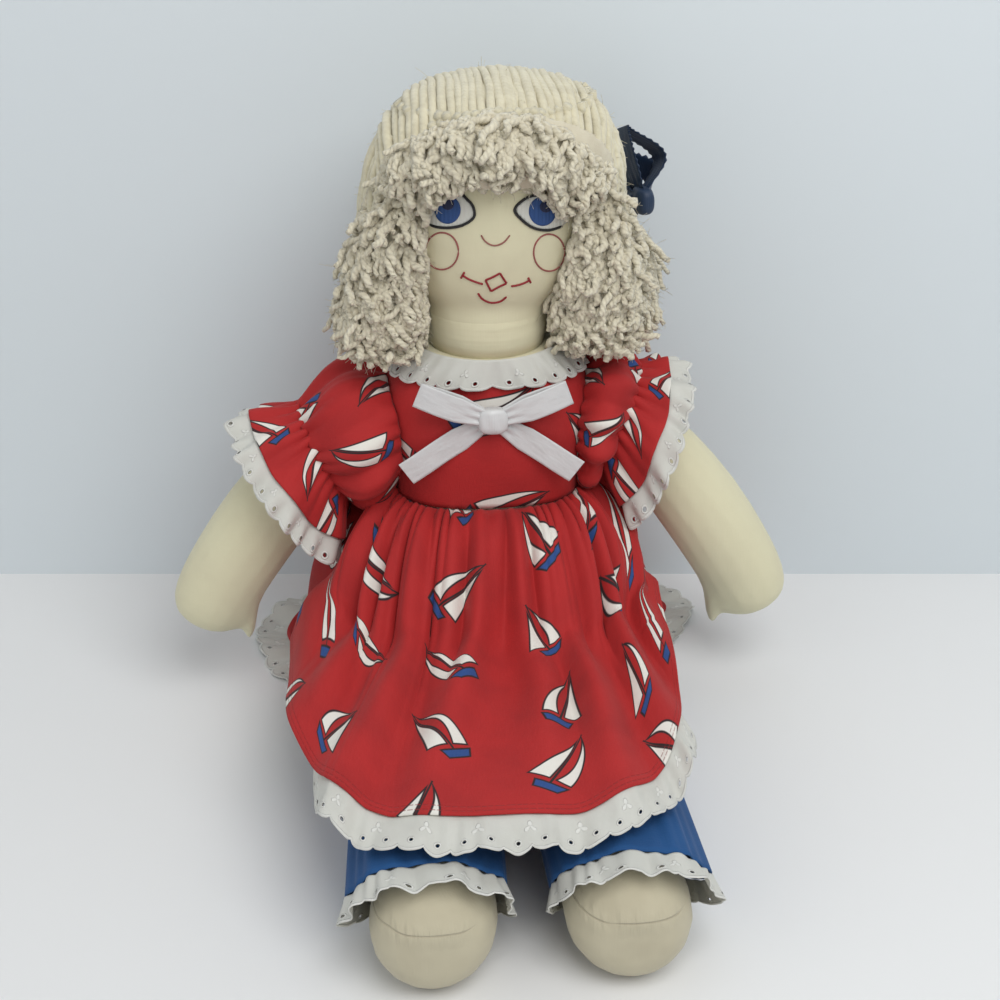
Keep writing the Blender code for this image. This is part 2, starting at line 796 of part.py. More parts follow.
def make_lock(name, side, pivot, head_form, back):
    """The tuft of curls beside the face."""
    count = 8
    grown = cage_share(count)
    length = lock_top() - NECKLINE_HEIGHT - LOCK_STAND
    rows = []
    for share, width, depth, out in LOCK_RING_SHARES:
        across = LOCK_OFFSET + out * LOCK_HALF_WIDTH
        centre = (across, -LOCK_FORWARD, lock_top() - share * length)
        half_width = width * LOCK_HALF_WIDTH / grown
        half_depth = depth * LOCK_HALF_DEPTH / grown
        rows.append(bent_ring(centre, (1, 0, 0), (0, 1, 0), half_width, half_depth, count))
    rows = flip(rows, side)
    for row in rows:
        for point in row:
            point.x += lean(point.z)
    lock = stuffed(name, rows, "yarn", pivot)
    cut(lock, head_form)
    cut(lock, back)


def tail_out():
    """The level direction in which the tied tail of hair leaves the head."""
    return Vector((math.cos(TAIL_BEARING), math.sin(TAIL_BEARING), 0))


def tie_place(height, offset):
    """The place on the crown's side at a height, in line with the tied tail, pushed out by an offset."""
    bottom, top = crown_ends()
    rises, widths, depths = zip(*CROWN_RING_SHARES)
    rise = (height - bottom) / (top - bottom)
    half_width = float(np.interp(rise, rises, widths)) * (HEAD_HALF_WIDTH + HAIR_THICKNESS) + offset
    half_depth = float(np.interp(rise, rises, depths)) * (HEAD_HALF_DEPTH + HAIR_THICKNESS) + offset
    out = tail_out()
    reach = 1 / math.hypot(out.x / half_width, out.y / half_depth)
    return out * reach + Vector((lean(height), 0, height))


def tie_height():
    """The height where the tail of hair is tied."""
    return head_bottom() + TAIL_TIE_SHARE * HEAD_HEIGHT


def make_tail(pivot, crown_form):
    """The short tail of hair that hangs from its ribbon."""
    count = 8
    grown = cage_share(count)
    start = tie_place(tie_height(), TAIL_RADIUS * TAIL_STAND_SHARE)
    rows = []
    for share, size in TAIL_RING_SHARES:
        radius = size * TAIL_RADIUS / grown
        centre = start - Vector((0, 0, share * TAIL_LENGTH))
        rows.append(bent_ring(centre, (1, 0, 0), (0, 1, 0), radius, radius, count))
    tail = stuffed("hair_tail", rows, "yarn", pivot)
    cut(tail, crown_form)


# Dress


def make_bodice():
    """The red bodice, open at the neck, the waist and both arms."""
    rows = [trunk_ring(height, EASE, TRUNK_SIDES) for height in levels(NECKLINE_HEIGHT, WAIST_HEIGHT, 6)]
    bodice = sewn("bodice", rows, "dress_cotton")
    for name, side in SIDES.items():
        bpy.ops.mesh.primitive_cylinder_add(vertices=16, radius=1.0, depth=1.0)
        hole = bpy.context.object
        hole.name = "armhole_" + name
        size = (ARMHOLE_HALF_HEIGHT - CLOTH, ARMHOLE_HALF_DEPTH - CLOTH, CUTTER_REACH)
        turn = Matrix.Rotation(math.pi / 2, 4, "Y")
        middle = side * (CUTTER_REACH / 2 + CHEST_HALF_WIDTH / 2)
        place = Matrix.Translation((middle, 0, ARMHOLE_HEIGHT))
        hole.data.transform(place @ turn @ Matrix.Diagonal((*size, 1.0)))
        cut(bodice, hide_as_cutter(hole))


def make_neck_lace():
    """The eyelet lace that lies round the neckline."""
    count = 2 * TRUNK_SIDES
    rows = []
    for share in (0.0, 1.0):
        height = NECKLINE_HEIGHT - share * NECK_LACE_DROP
        level = height + FIT + CLOTH * (1 - share)
        stand = EASE + CLOTH + 2 * FIT
        ring = trunk_ring(height, stand, count, level)
        out = trunk_ring(height, stand + NECK_LACE_WAVE * share, count, level)
        rows.append([far if step % 4 < 2 else near for step, (near, far) in enumerate(zip(ring, out))])
    sewn("neck_lace", rows, "lace")


def armhole_ring(count):
    """The edge that the sleeve is sewn along, just outside the bodice."""
    sizes = (ARMHOLE_HALF_HEIGHT, ARMHOLE_HALF_DEPTH)
    ring = bent_ring((0, 0, ARMHOLE_HEIGHT), (0, 0, 1), (0, 1, 0), *sizes, count)
    for point in ring:
        point.x = trunk_side(point.y, point.z, EASE + CLOTH) + 2 * FIT
    return ring


def tilted(slope):
    """Directions along, across and through a ring that faces down a slope."""
    along = Vector((math.cos(slope), 0, -math.sin(slope)))
    across = Vector((math.sin(slope), 0, math.cos(slope)))
    return along, across, Vector((0, 1, 0))


def gather_radius():
    """The elastic's radius, just clear of the arm."""
    return ARM_RADIUS + 2 * EASE


def sleeve_ring(side_name, share, radius, count, wave=0.0):
    """A ring of the sleeve's flare. The share runs from the elastic at 0 to the red edge at 1."""
    tilt = GATHER_TILTS[side_name] + (RUFFLE_TILTS[side_name] - GATHER_TILTS[side_name]) * min(share, 1.0)
    along, across, through = tilted(tilt)
    centre = arm_place(side_name, (SLEEVE_REACHES[side_name] + share * RUFFLE_REACH) / ARM_LENGTH)
    ring = []
    for step, point in enumerate(bent_ring((0, 0, 0), across, through, 1.0, 1.0, count)):
        ripple = wave * math.cos(math.tau * step / 4)
        ring.append(centre + point * (radius + ripple))
    return ring


def puff_rows(side_name, count):
    """Rings of the puffed sleeve, from the armhole to the elastic."""
    start = armhole_ring(count)
    end = sleeve_ring(side_name, 0.0, gather_radius(), count)
    rows = [start]
    middle = (sum(start, Vector()) + sum(end, Vector())) / (2 * count)
    for share in PUFF_ROW_SHARES:
        bulge = SLEEVE_PUFF * math.sin(math.pi * share)
        row = []
        for near, far in zip(start, end):
            point = near.lerp(far, share)
            away = point - middle
            away.x = 0
            row.append(point + away.normalized() * bulge)
        rows.append(row)
    rows.append(end)
    return rows


def outwards(rows):
    """Turns the columns of rows that were drawn clockwise."""
    return [row[::-1] for row in rows]


def make_sleeve(name, side, upper, lower):
    """The puffed sleeve, its flared ruffle and the lace on the ruffle's edge."""
    puff = puff_rows(name, 20)
    sewn("sleeve_" + name, flip(outwards(puff), side), "dress_cotton", upper)
    count = 24
    gap = 2 * FIT / RUFFLE_REACH
    inner = gather_radius()
    flare = []
    for share in RUFFLE_ROW_SHARES:
        radius = inner + (RUFFLE_RADIUS - inner) * share
        flare.append(sleeve_ring(name, gap + share * (1 - gap), radius, count, RUFFLE_WAVE * share))
    sewn("sleeve_ruffle_" + name, flip(outwards(flare), side), "dress_cotton", lower)
    lace = []
    for end in (1 + 2 * gap, 1 + SLEEVE_LACE_DEPTH / RUFFLE_REACH):
        radius = RUFFLE_RADIUS + (end - 1) * (RUFFLE_RADIUS - inner) / 2
        lace.append(sleeve_ring(name, end, radius, count, RUFFLE_WAVE))
    sewn("sleeve_lace_" + name, flip(outwards(lace), side), "lace", lower)


def waist_top():
    """The level of the skirt's gathered edge, whose cloth stays just under the bodice."""
    return WAIST_HEIGHT - FIT - SKIRT_STAND_SHARE * CLOTH


def waist_point(turn):
    """A point of the skirt's gathered edge, as a share of a turn round the trunk."""
    half_width, half_depth, setback, power = trunk_section(WAIST_HEIGHT)
    centre = (0, setback, waist_top())
    sizes = (half_width + EASE, half_depth + EASE)
    return bent_ring(centre, (1, 0, 0), (0, 1, 0), *sizes, 1, power, turn)[0]


def hem_point(turn):
    """A point of the skirt's hem in plan."""
    middle = (SKIRT_BACK - SKIRT_FRONT) / 2
    sizes = (SKIRT_HALF_WIDTH, (SKIRT_BACK + SKIRT_FRONT) / 2)
    point = bent_ring((0, middle, 0), (1, 0, 0), (0, 1, 0), *sizes, 1, SKIRT_POWER, turn)[0]
    narrowing = eased((SKIRT_SPREAD_START - point.y) / SKIRT_NARROWING)
    point.x *= 1 + (SKIRT_FRONT_HALF_WIDTH / SKIRT_HALF_WIDTH - 1) * narrowing
    point.x -= SKIRT_DRIFT * narrowing
    return point


def pants_top():
    """The height of the pants legs."""
    return HEM_LIFT + 2 * (PANTS_HALF_HEIGHT + CLOTH)


def eased(value):
    """A share that starts and ends softly between 0 and 1."""
    value = min(max(value, 0.0), 1.0)
    return value * value * (3 - 2 * value)


def skirt_height(place, turn):
    """The height of the draped skirt over a place in plan, at a turn round the waist."""
    waist = waist_point(turn)
    fullness = eased(-place.y / SKIRT_FULLNESS_START)
    reach = SKIRT_SIDE_FALL + (SKIRT_FRONT_FALL - SKIRT_SIDE_FALL) * fullness
    fall = (Vector((place.x, place.y)) - Vector((waist.x, waist.y))).length / reach
    hung = waist_top() * max(1 - fall * fall, 0.0)
    ahead = max(-place.y / SKIRT_FRONT, 0.0)
    lap = pants_top() + LAP_CLEARANCE + LAP_RISE * (1 - ahead)
    edge = max(abs(place.x) - FOOT_OFFSET - PANTS_HALF_WIDTH + EASE, 0.0) / LAP_EDGE
    hold = FRONT_HOLD_SHARE * eased((-place.y - SKIRT_FULLNESS_START) / SKIRT_NARROWING)
    drop = math.sqrt(max(1 - edge * edge, 0.0))
    laid = lap * (hold + (1 - hold) * drop) * eased(-place.y / BELLY_HALF_DEPTH)
    rounding = SKIRT_ROUNDING * math.exp(-abs(hung - laid) / SKIRT_ROUNDING) / 4
    high = max(hung, laid, HEM_LIFT) + rounding
    return min(high, waist_top())


def skirt_point(turn, share, beyond=0.0):
    """A point of the smooth skirt at a turn round the waist and a share of the way to the hem, or past it."""
    waist = waist_point(turn)
    if share <= 0:
        return waist
    hem = hem_point(turn)
    out = Vector((hem.x - waist.x, hem.y - waist.y, 0)).normalized()
    place = waist.lerp(hem, share) + out * beyond
    shoulder = waist_top() - SKIRT_SHOULDER * eased(share / SKIRT_ROW_SHARES[2])
    return Vector((place.x, place.y, min(skirt_height(place, turn), shoulder)))


def turned_in(turn):
    """How far the hem lace is turned in under the skirt, from 0 to 1. Only the doll's right side has it."""
    hem = hem_point(turn)
    if hem.x > 0:
        return 0.0
    ahead = eased((hem.y - LACE_TURN_FRONT) / LACE_TURN_FADE)
    return ahead * eased((LACE_TURN_BACK - hem.y) / LACE_TURN_FADE)


def skirt_row(share, count, beyond=0.0, tuck=0.0):
    """One row of the skirt, whose folds grow towards the hem. It may lie past the hem or under it."""
    row = []
    reach = EASE / SKIRT_FRONT
    for step in range(count):
        turn = step / count
        place = skirt_point(turn, share, beyond)
        around = skirt_point(turn + reach, share, beyond) - skirt_point(turn - reach, share, beyond)
        outward = skirt_point(turn, share, beyond + EASE) - skirt_point(turn, share, beyond - EASE)
        normal = outward.cross(around).normalized()
        fold = SKIRT_FOLD * eased(share * 2) * (0.5 + 0.5 * math.cos(math.tau * turn * SKIRT_FOLDS))
        moved = place + normal * (fold - tuck)
        moved.z = max(moved.z, HEM_LIFT - tuck)
        row.append(moved)
    return row


def make_skirt():
    """The gathered skirt over the lap, and the lace tucked under its hem."""
    count = SKIRT_FOLDS * 4
    rows = [skirt_row(share, count) for share in SKIRT_ROW_SHARES]
    sewn("skirt", rows, "dress_cotton")
    tuck = CLOTH + 2 * FIT
    lace = [skirt_row(1.0, count, FIT, tuck), skirt_row(1.0, count, LACE_DEPTH, tuck)]
    for step, point in enumerate(lace[1]):
        share = turned_in(step / count)
        point.x += (lace[0][step].x - point.x) * share * LACE_TURN_SHARE
        point.y += (lace[0][step].y - point.y) * share * LACE_TURN_SHARE
        drop = HEM_LACE_DROOP * (1 - share) + LACE_DEPTH * LACE_DROP_SHARE * share
        level = point.z + (lace[0][step].z - point.z) * share
        point.z = max(level - drop, HEM_LIFT - tuck)
    sewn("hem_lace", lace, "lace")


# Pants


def make_pants_seat(ground):
    """The top of the pants, closed under the seat, with a hole for each leg."""
    low = CLOTH - FLOOR_CUT
    heights = levels(PANTS_RISE, HIP_HEIGHT, 3) + levels(HIP_HEIGHT, trunk_bottom(), 3)[1:]
    rows = [trunk_ring(height, EASE, TRUNK_SIDES) for height in heights[:-1]]
    rows.append(trunk_ring(heights[-1], EASE, TRUNK_SIDES, low))
    mesh = mesh_from_rows("pants_seat", rows)
    shape = bmesh.new()
    shape.from_mesh(mesh)
    shape.verts.ensure_lookup_table()
    shape.faces.new(shape.verts[-TRUNK_SIDES:][::-1])
    shape.to_mesh(mesh)
    shape.free()
    seat = add_mesh("pants_seat", mesh, "pants_cotton")
    thicken(seat, CLOTH)
    for name, side in SIDES.items():
        bpy.ops.mesh.primitive_cylinder_add(vertices=20, radius=LEG_HOLE_RADIUS, depth=CUTTER_REACH)
        hole = bpy.context.object
        hole.name = "leg_hole_" + name
        turn = Matrix.Rotation(math.pi / 2, 4, "X")
        centre = (side * (HIP_SEAM_OFFSET - EASE), -CUTTER_REACH / 2 - HIP_HALF_DEPTH / 2, pants_middle())
        hole.data.transform(Matrix.Translation(centre) @ turn)
        cut(seat, hide_as_cutter(hole))
    cut(seat, ground)


def pants_middle():
    """The height of the middle of a pants leg."""
    return HEM_LIFT + CLOTH + PANTS_HALF_HEIGHT


def pants_ring(distance, count, wave=0.0):
    """A ring of a pants leg at a distance in front of the trunk. The opening slants back underneath."""
    share = min(distance / PANTS_FRONT, 1.0)
    across = HIP_SEAM_OFFSET + EASE + (FOOT_OFFSET - HIP_SEAM_OFFSET) * share
    slant = PANTS_SLANT * eased((distance - BELLY_HALF_DEPTH) / (PANTS_FRONT - BELLY_HALF_DEPTH))
    ring = []
    sizes = (PANTS_HALF_WIDTH, PANTS_HALF_HEIGHT)
    for step, point in enumerate(bent_ring((0, 0, 0), (1, 0, 0), (0, 0, 1), *sizes, count, PANTS_POWER)):
        rise = 0.5 + 0.5 * point.z / PANTS_HALF_HEIGHT
        ripple = 1 + wave * rise * (1 - math.cos(math.tau * step / 4)) / PANTS_HALF_WIDTH
        back = slant * (1 - rise)
        ring.append(point * ripple + Vector((across, back - distance, pants_middle())))
    return ring


def make_pants_leg(name, side, pivot):
    """One leg of the pants and the lace at its ankle."""
    count = 20
    nearest = HIP_HALF_DEPTH * PANTS_SEAM_SHARE
    start = pants_ring(HIP_HALF_DEPTH, count)
    for point in start:
        forward = trunk_front(point.x, point.z, EASE + CLOTH) if point.z > trunk_bottom() else 0.0
        point.y = -max(forward, nearest) - 3 * FIT
    rows = [start]
    for share in (0.20, 0.60, 1.0):
        rows.append(pants_ring(BELLY_HALF_DEPTH + (PANTS_FRONT - BELLY_HALF_DEPTH) * share, count))
    sewn("pants_leg_" + name, flip(outwards(rows), side), "pants_cotton", pivot)
    count = 28
    lace = []
    for share in (0.0, 1.0):
        distance = PANTS_FRONT + 2 * FIT + share * PANTS_LACE_DEPTH
        lace.append(pants_ring(distance, count, PANTS_WAVE * share))
    sewn("pants_lace_" + name, flip(outwards(lace), side), "lace", pivot)


# Ribbon bows


def make_knot(name, kind, frame, size, pivot=None):
    """The knot in the middle of a bow: a pad with round edges."""
    bpy.ops.mesh.primitive_cube_add(size=1.0)
    block = bpy.context.object
    mesh = block.data.copy()
    bpy.data.objects.remove(block, do_unlink=True)
    mesh.transform(frame @ Matrix.Diagonal((*size, 1.0)))
    knot = add_mesh(name, mesh, kind, pivot)
    rounding = knot.modifiers.new("round_edges", "BEVEL")
    rounding.width = min(size) * KNOT_ROUND_SHARE
    rounding.segments = 2


def ribbon_rows(frame, start, angle, stations, width):
    """Two edges of a ribbon whose stations give distance, lift and width share, turned in its bow."""
    out = Vector((math.cos(angle), math.sin(angle), 0))
    edge = Vector((-math.sin(angle), math.cos(angle), 0))
    rows = []
    for distance, lift, share in stations:
        centre = out * (start + distance) + Vector((0, 0, lift))
        half = edge * width * share / 2
        rows.append([frame @ (centre - half), frame @ (centre + half)])
    return rows


def make_bow(prefix, kind, frame, width, loop, tail, depth, swells, leans, turns, pivot=None):
    """A tied bow in a frame whose Z points away from what it is tied on: knot, two loops and two tails."""
    angles = [math.radians(turn) for turn in turns]
    knot_size = Vector((width * KNOT_LENGTH_SHARE, width * KNOT_WIDTH_SHARE, depth))
    make_knot(prefix + "_knot", kind, frame, knot_size, pivot)
    form = block_cutter(prefix + "_knot_form", (0, 0, 0), knot_size + Vector((FIT, FIT, FIT)) * 2)
    form.data.transform(frame)
    start = knot_size.x * KNOT_GRIP_SHARE
    steps = 7
    for name, angle, lean_in in zip(("right", "left"), angles[:2], leans):
        line = loop_stations(loop, depth * ROOT_RISE_SHARE, swells, lean_in, steps)
        rows = ribbon_rows(frame, start, angle, line, width)
        cut(sewn(prefix + "_loop_" + name, rows, kind, pivot, False, RIBBON, True), form)
    for name, angle, drop_share in zip(("right", "left"), angles[2:], TAIL_DROP_SHARES):
        line = tail_stations(tail, depth * drop_share, steps)
        rows = ribbon_rows(frame, start, angle, line, width)
        cut(sewn(prefix + "_tail_" + name, rows, kind, pivot, False, RIBBON, True), form)


def loop_stations(loop, root, swells, lean_in, steps):
    """The side view of a ribbon loop: out over the top, round the tip and back underneath.

    The two swells are those of its outer and its inner run. The lean draws its tip towards the hair.
    """
    stations = []
    for step in range(2 * steps + 1):
        share = step / steps - 1
        reach = 1 - abs(share) ** LOOP_TIP_SHARE
        swell = swells[0] if share < 0 else swells[1]
        opening = root + swell * math.sin(math.pi * reach**LOOP_PEAK_SHARE)
        lift = -opening * math.sin(share * math.pi / 2) - lean_in * reach
        stations.append((loop * reach, lift, pinched(LOOP_PINCH_SHARE * reach)))
    return stations


def tail_stations(tail, drop, steps):
    """The side view of a ribbon's tail, which leaves the knot low."""
    stations = []
    for step in range(steps):
        share = step / (steps - 1)
        stations.append((tail * share, -drop, pinched(TAIL_PINCH_SHARE * share)))
    return stations


def pinched(share):
    """The share of a ribbon's width that is left near its knot."""
    return PINCH_SHARE + (1 - PINCH_SHARE) * min(share, 1.0)


def bow_frame(centre, outward, upward):
    """The frame of a bow from its place, the way it faces and its upper side."""
    depth = Vector(outward).normalized()
    right = Vector(upward).cross(depth).normalized()
    rise = depth.cross(right)
    turn = Matrix((right, rise, depth)).transposed().to_4x4()
    return Matrix.Translation(centre) @ turn


def make_chest_bow():
    """The white satin bow on the bodice."""
    below = CHEST_BOW_HEIGHT - CHEST_RIBBON_WIDTH / 2
    stand = trunk_front(0.0, below, EASE + CLOTH) + FIT + CHEST_BOW_DEPTH / 2
    frame = bow_frame((0, -stand, CHEST_BOW_HEIGHT), (0, -1, 0), (0, 0, 1))
    make_bow(
        "chest_bow",
        "satin",
        frame,
        CHEST_RIBBON_WIDTH,
        CHEST_LOOP_LENGTH,
        CHEST_TAIL_LENGTH,
        CHEST_BOW_DEPTH,
        CHEST_LOOP_SWELLS,
        CHEST_LOOP_LEANS,
        CHEST_BOW_TURNS,
    )


def make_hair_bow(pivot):
    """The navy bow that ties the tail of hair."""
    out = tail_out()
    place = tie_place(tie_height() + HAIR_BOW_RISE, HAIR_BOW_STAND + HAIR_BOW_DEPTH / 2)
    frame = bow_frame(place, out, (0, 0, 1))
    make_bow(
        "hair_bow",
        "navy_ribbon",
        frame,
        HAIR_RIBBON_WIDTH,
        HAIR_LOOP_LENGTH,
        HAIR_TAIL_LENGTH,
        HAIR_BOW_DEPTH,
        HAIR_LOOP_SWELLS,
        HAIR_LOOP_LEANS,
        HAIR_BOW_TURNS,
        pivot,
    )


def mirrored(place, side):
    """A place moved to one side of the doll."""
    return (place.x * side, place.y, place.z)


def main():
    """Builds the doll, with what moves under the empties on its joints."""
    clear_scene()
    ground = block_cutter(
        "ground",
        (0, 0, -CUTTER_REACH / 2),
        (2 * CUTTER_REACH, 2 * CUTTER_REACH, CUTTER_REACH),
    )
    neck_pivot = add_pivot("neck_pivot", (0, 0, neck_pivot_height()))
    head_pivot = add_pivot("head_pivot", (0, 0, head_bottom()), neck_pivot)
    make_trunk()
    make_neck(neck_pivot)
    head_form = make_head(head_pivot)
    front, back = front_blocks()
    crown_form = make_crown(head_pivot, head_form, front)
    make_fringe(head_pivot, head_form, back)
    make_tail(head_pivot, crown_form)
    make_hair_bow(head_pivot)
    for name, side in SIDES.items():
        upper = add_pivot("arm_lift_pivot_" + name, mirrored(seam_start(), side))
        lower = add_pivot("arm_swing_pivot_" + name, mirrored(arm_hinge(name), side), upper)
        hip = add_pivot("hip_pivot_" + name, mirrored(hip_seam(), side))
        make_gather(name, side, upper)
        make_arm(name, side, lower)
        make_sleeve(name, side, upper, lower)
        make_leg("leg_" + name, side, hip, ground)
        make_pants_leg(name, side, hip)
        make_lock("hair_lock_" + name, side, head_pivot, head_form, back)
    make_bodice()
    make_neck_lace()
    make_skirt()
    make_pants_seat(ground)
    make_chest_bow()


main()
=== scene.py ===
"""Dresses the seated rag doll in muslin, yarn hair, printed cloth, eyelet lace, ribbon and embroidery."""

import json
import logging
import math
from dataclasses import dataclass
from enum import Enum
from itertools import product
from typing import Callable, Sequence

import bpy
import numpy as np
from mathutils import Matrix, Vector
from mathutils.bvhtree import BVHTree

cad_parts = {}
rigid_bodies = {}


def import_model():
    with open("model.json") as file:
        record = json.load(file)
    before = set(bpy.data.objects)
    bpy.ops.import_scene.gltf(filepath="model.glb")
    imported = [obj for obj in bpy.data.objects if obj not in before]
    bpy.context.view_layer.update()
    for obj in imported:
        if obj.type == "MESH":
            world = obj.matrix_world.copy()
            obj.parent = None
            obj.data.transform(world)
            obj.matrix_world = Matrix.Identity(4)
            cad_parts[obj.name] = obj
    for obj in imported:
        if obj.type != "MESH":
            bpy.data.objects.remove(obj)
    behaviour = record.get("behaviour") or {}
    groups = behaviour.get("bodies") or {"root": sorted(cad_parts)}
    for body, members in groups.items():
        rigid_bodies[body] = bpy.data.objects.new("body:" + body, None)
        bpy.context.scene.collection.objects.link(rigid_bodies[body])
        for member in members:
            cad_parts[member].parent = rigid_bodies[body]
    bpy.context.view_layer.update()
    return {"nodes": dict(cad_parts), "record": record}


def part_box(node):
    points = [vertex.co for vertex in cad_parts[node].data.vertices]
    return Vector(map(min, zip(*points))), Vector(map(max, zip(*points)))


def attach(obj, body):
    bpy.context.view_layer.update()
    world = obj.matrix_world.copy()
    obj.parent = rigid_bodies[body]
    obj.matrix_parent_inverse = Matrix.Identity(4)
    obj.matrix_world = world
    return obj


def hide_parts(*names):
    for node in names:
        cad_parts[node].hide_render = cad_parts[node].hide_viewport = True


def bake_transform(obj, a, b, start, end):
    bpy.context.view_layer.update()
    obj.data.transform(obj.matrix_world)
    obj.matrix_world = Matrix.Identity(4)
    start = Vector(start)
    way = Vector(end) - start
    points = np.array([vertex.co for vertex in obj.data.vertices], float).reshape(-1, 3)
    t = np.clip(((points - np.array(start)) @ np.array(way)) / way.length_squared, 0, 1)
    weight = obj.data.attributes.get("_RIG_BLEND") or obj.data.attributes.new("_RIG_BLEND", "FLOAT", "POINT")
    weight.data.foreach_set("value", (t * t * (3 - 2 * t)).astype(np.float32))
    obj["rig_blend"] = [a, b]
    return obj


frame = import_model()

Form = Callable[[np.ndarray, np.ndarray], np.ndarray]
Field = Callable[[np.ndarray, np.ndarray], np.ndarray]
Pixels = Sequence[tuple[float, float]]
Line = Callable[[np.ndarray], tuple[np.ndarray, np.ndarray, np.ndarray]]

log = logging.getLogger("rag_doll")

# Metres: the gap at a fit, the room under cloth, the thickest cloth, thin lace and a scallop's width

FIT = 0.0003
EASE = 0.0012
CLOTH = 0.0012
LACE = 0.0005
SCALLOP = 0.0146

# The step for slopes, as a share of a form

EPS = 0.0004


class Side(Enum):
    """The doll's own two sides. Its left is at +X."""

    LEFT = "left"
    RIGHT = "right"

    @property
    def sign(self) -> float:
        """Plus one on the doll's left and minus one on its right."""
        return 1.0 if self is Side.LEFT else -1.0


class Body(Enum):
    """The bodies of the frame that carry pieces."""

    TRUNK = "trunk"
    NECK = "neck"
    HEAD = "head"

    @staticmethod
    def limb(kind: str, side: Side) -> str:
        """The name of a limb's body."""
        return f"{kind}_{side.value}"


# Shader maths


class Sock:
    """A shader value that adds its Math nodes as it is used in sums."""

    def __init__(self, paint: "Paint", socket: bpy.types.NodeSocket) -> None:
        """Keeps the socket and the material that it belongs to."""
        self.paint = paint
        self.socket = socket

    def math(self, operation: str, *others: "Sock | float", clamp: bool = False) -> "Sock":
        """Adds one Math node after this value."""
        inputs = dict(enumerate((self, *others)))
        return self.paint.node("ShaderNodeMath", {"operation": operation, "use_clamp": clamp}, inputs)

    def __add__(self, other: "Sock | float") -> "Sock":
        """Sum."""
        return self.math("ADD", other)

    def __sub__(self, other: "Sock | float") -> "Sock":
        """Difference."""
        return self.math("SUBTRACT", other)

    def __rsub__(self, other: float) -> "Sock":
        """A number less this value."""
        return (self * -1.0) + other

    def __mul__(self, other: "Sock | float") -> "Sock":
        """Product."""
        return self.math("MULTIPLY", other)

    def __truediv__(self, other: "Sock | float") -> "Sock":
        """Quotient."""
        return self.math("DIVIDE", other)

    __radd__ = __add__
    __rmul__ = __mul__

    def least(self, other: "Sock | float") -> "Sock":
        """The smaller of two values."""
        return self.math("MINIMUM", other)

    def most(self, other: "Sock | float") -> "Sock":
        """The larger of two values."""
        return self.math("MAXIMUM", other)

    def soft(self, low: float, high: float) -> "Sock":
        """A smooth step from 0 at low to 1 at high."""
        settings = {"interpolation_type": "SMOOTHSTEP"}
        inputs = {"Value": self, "From Min": low, "From Max": high}
        return self.paint.node("ShaderNodeMapRange", settings, inputs)


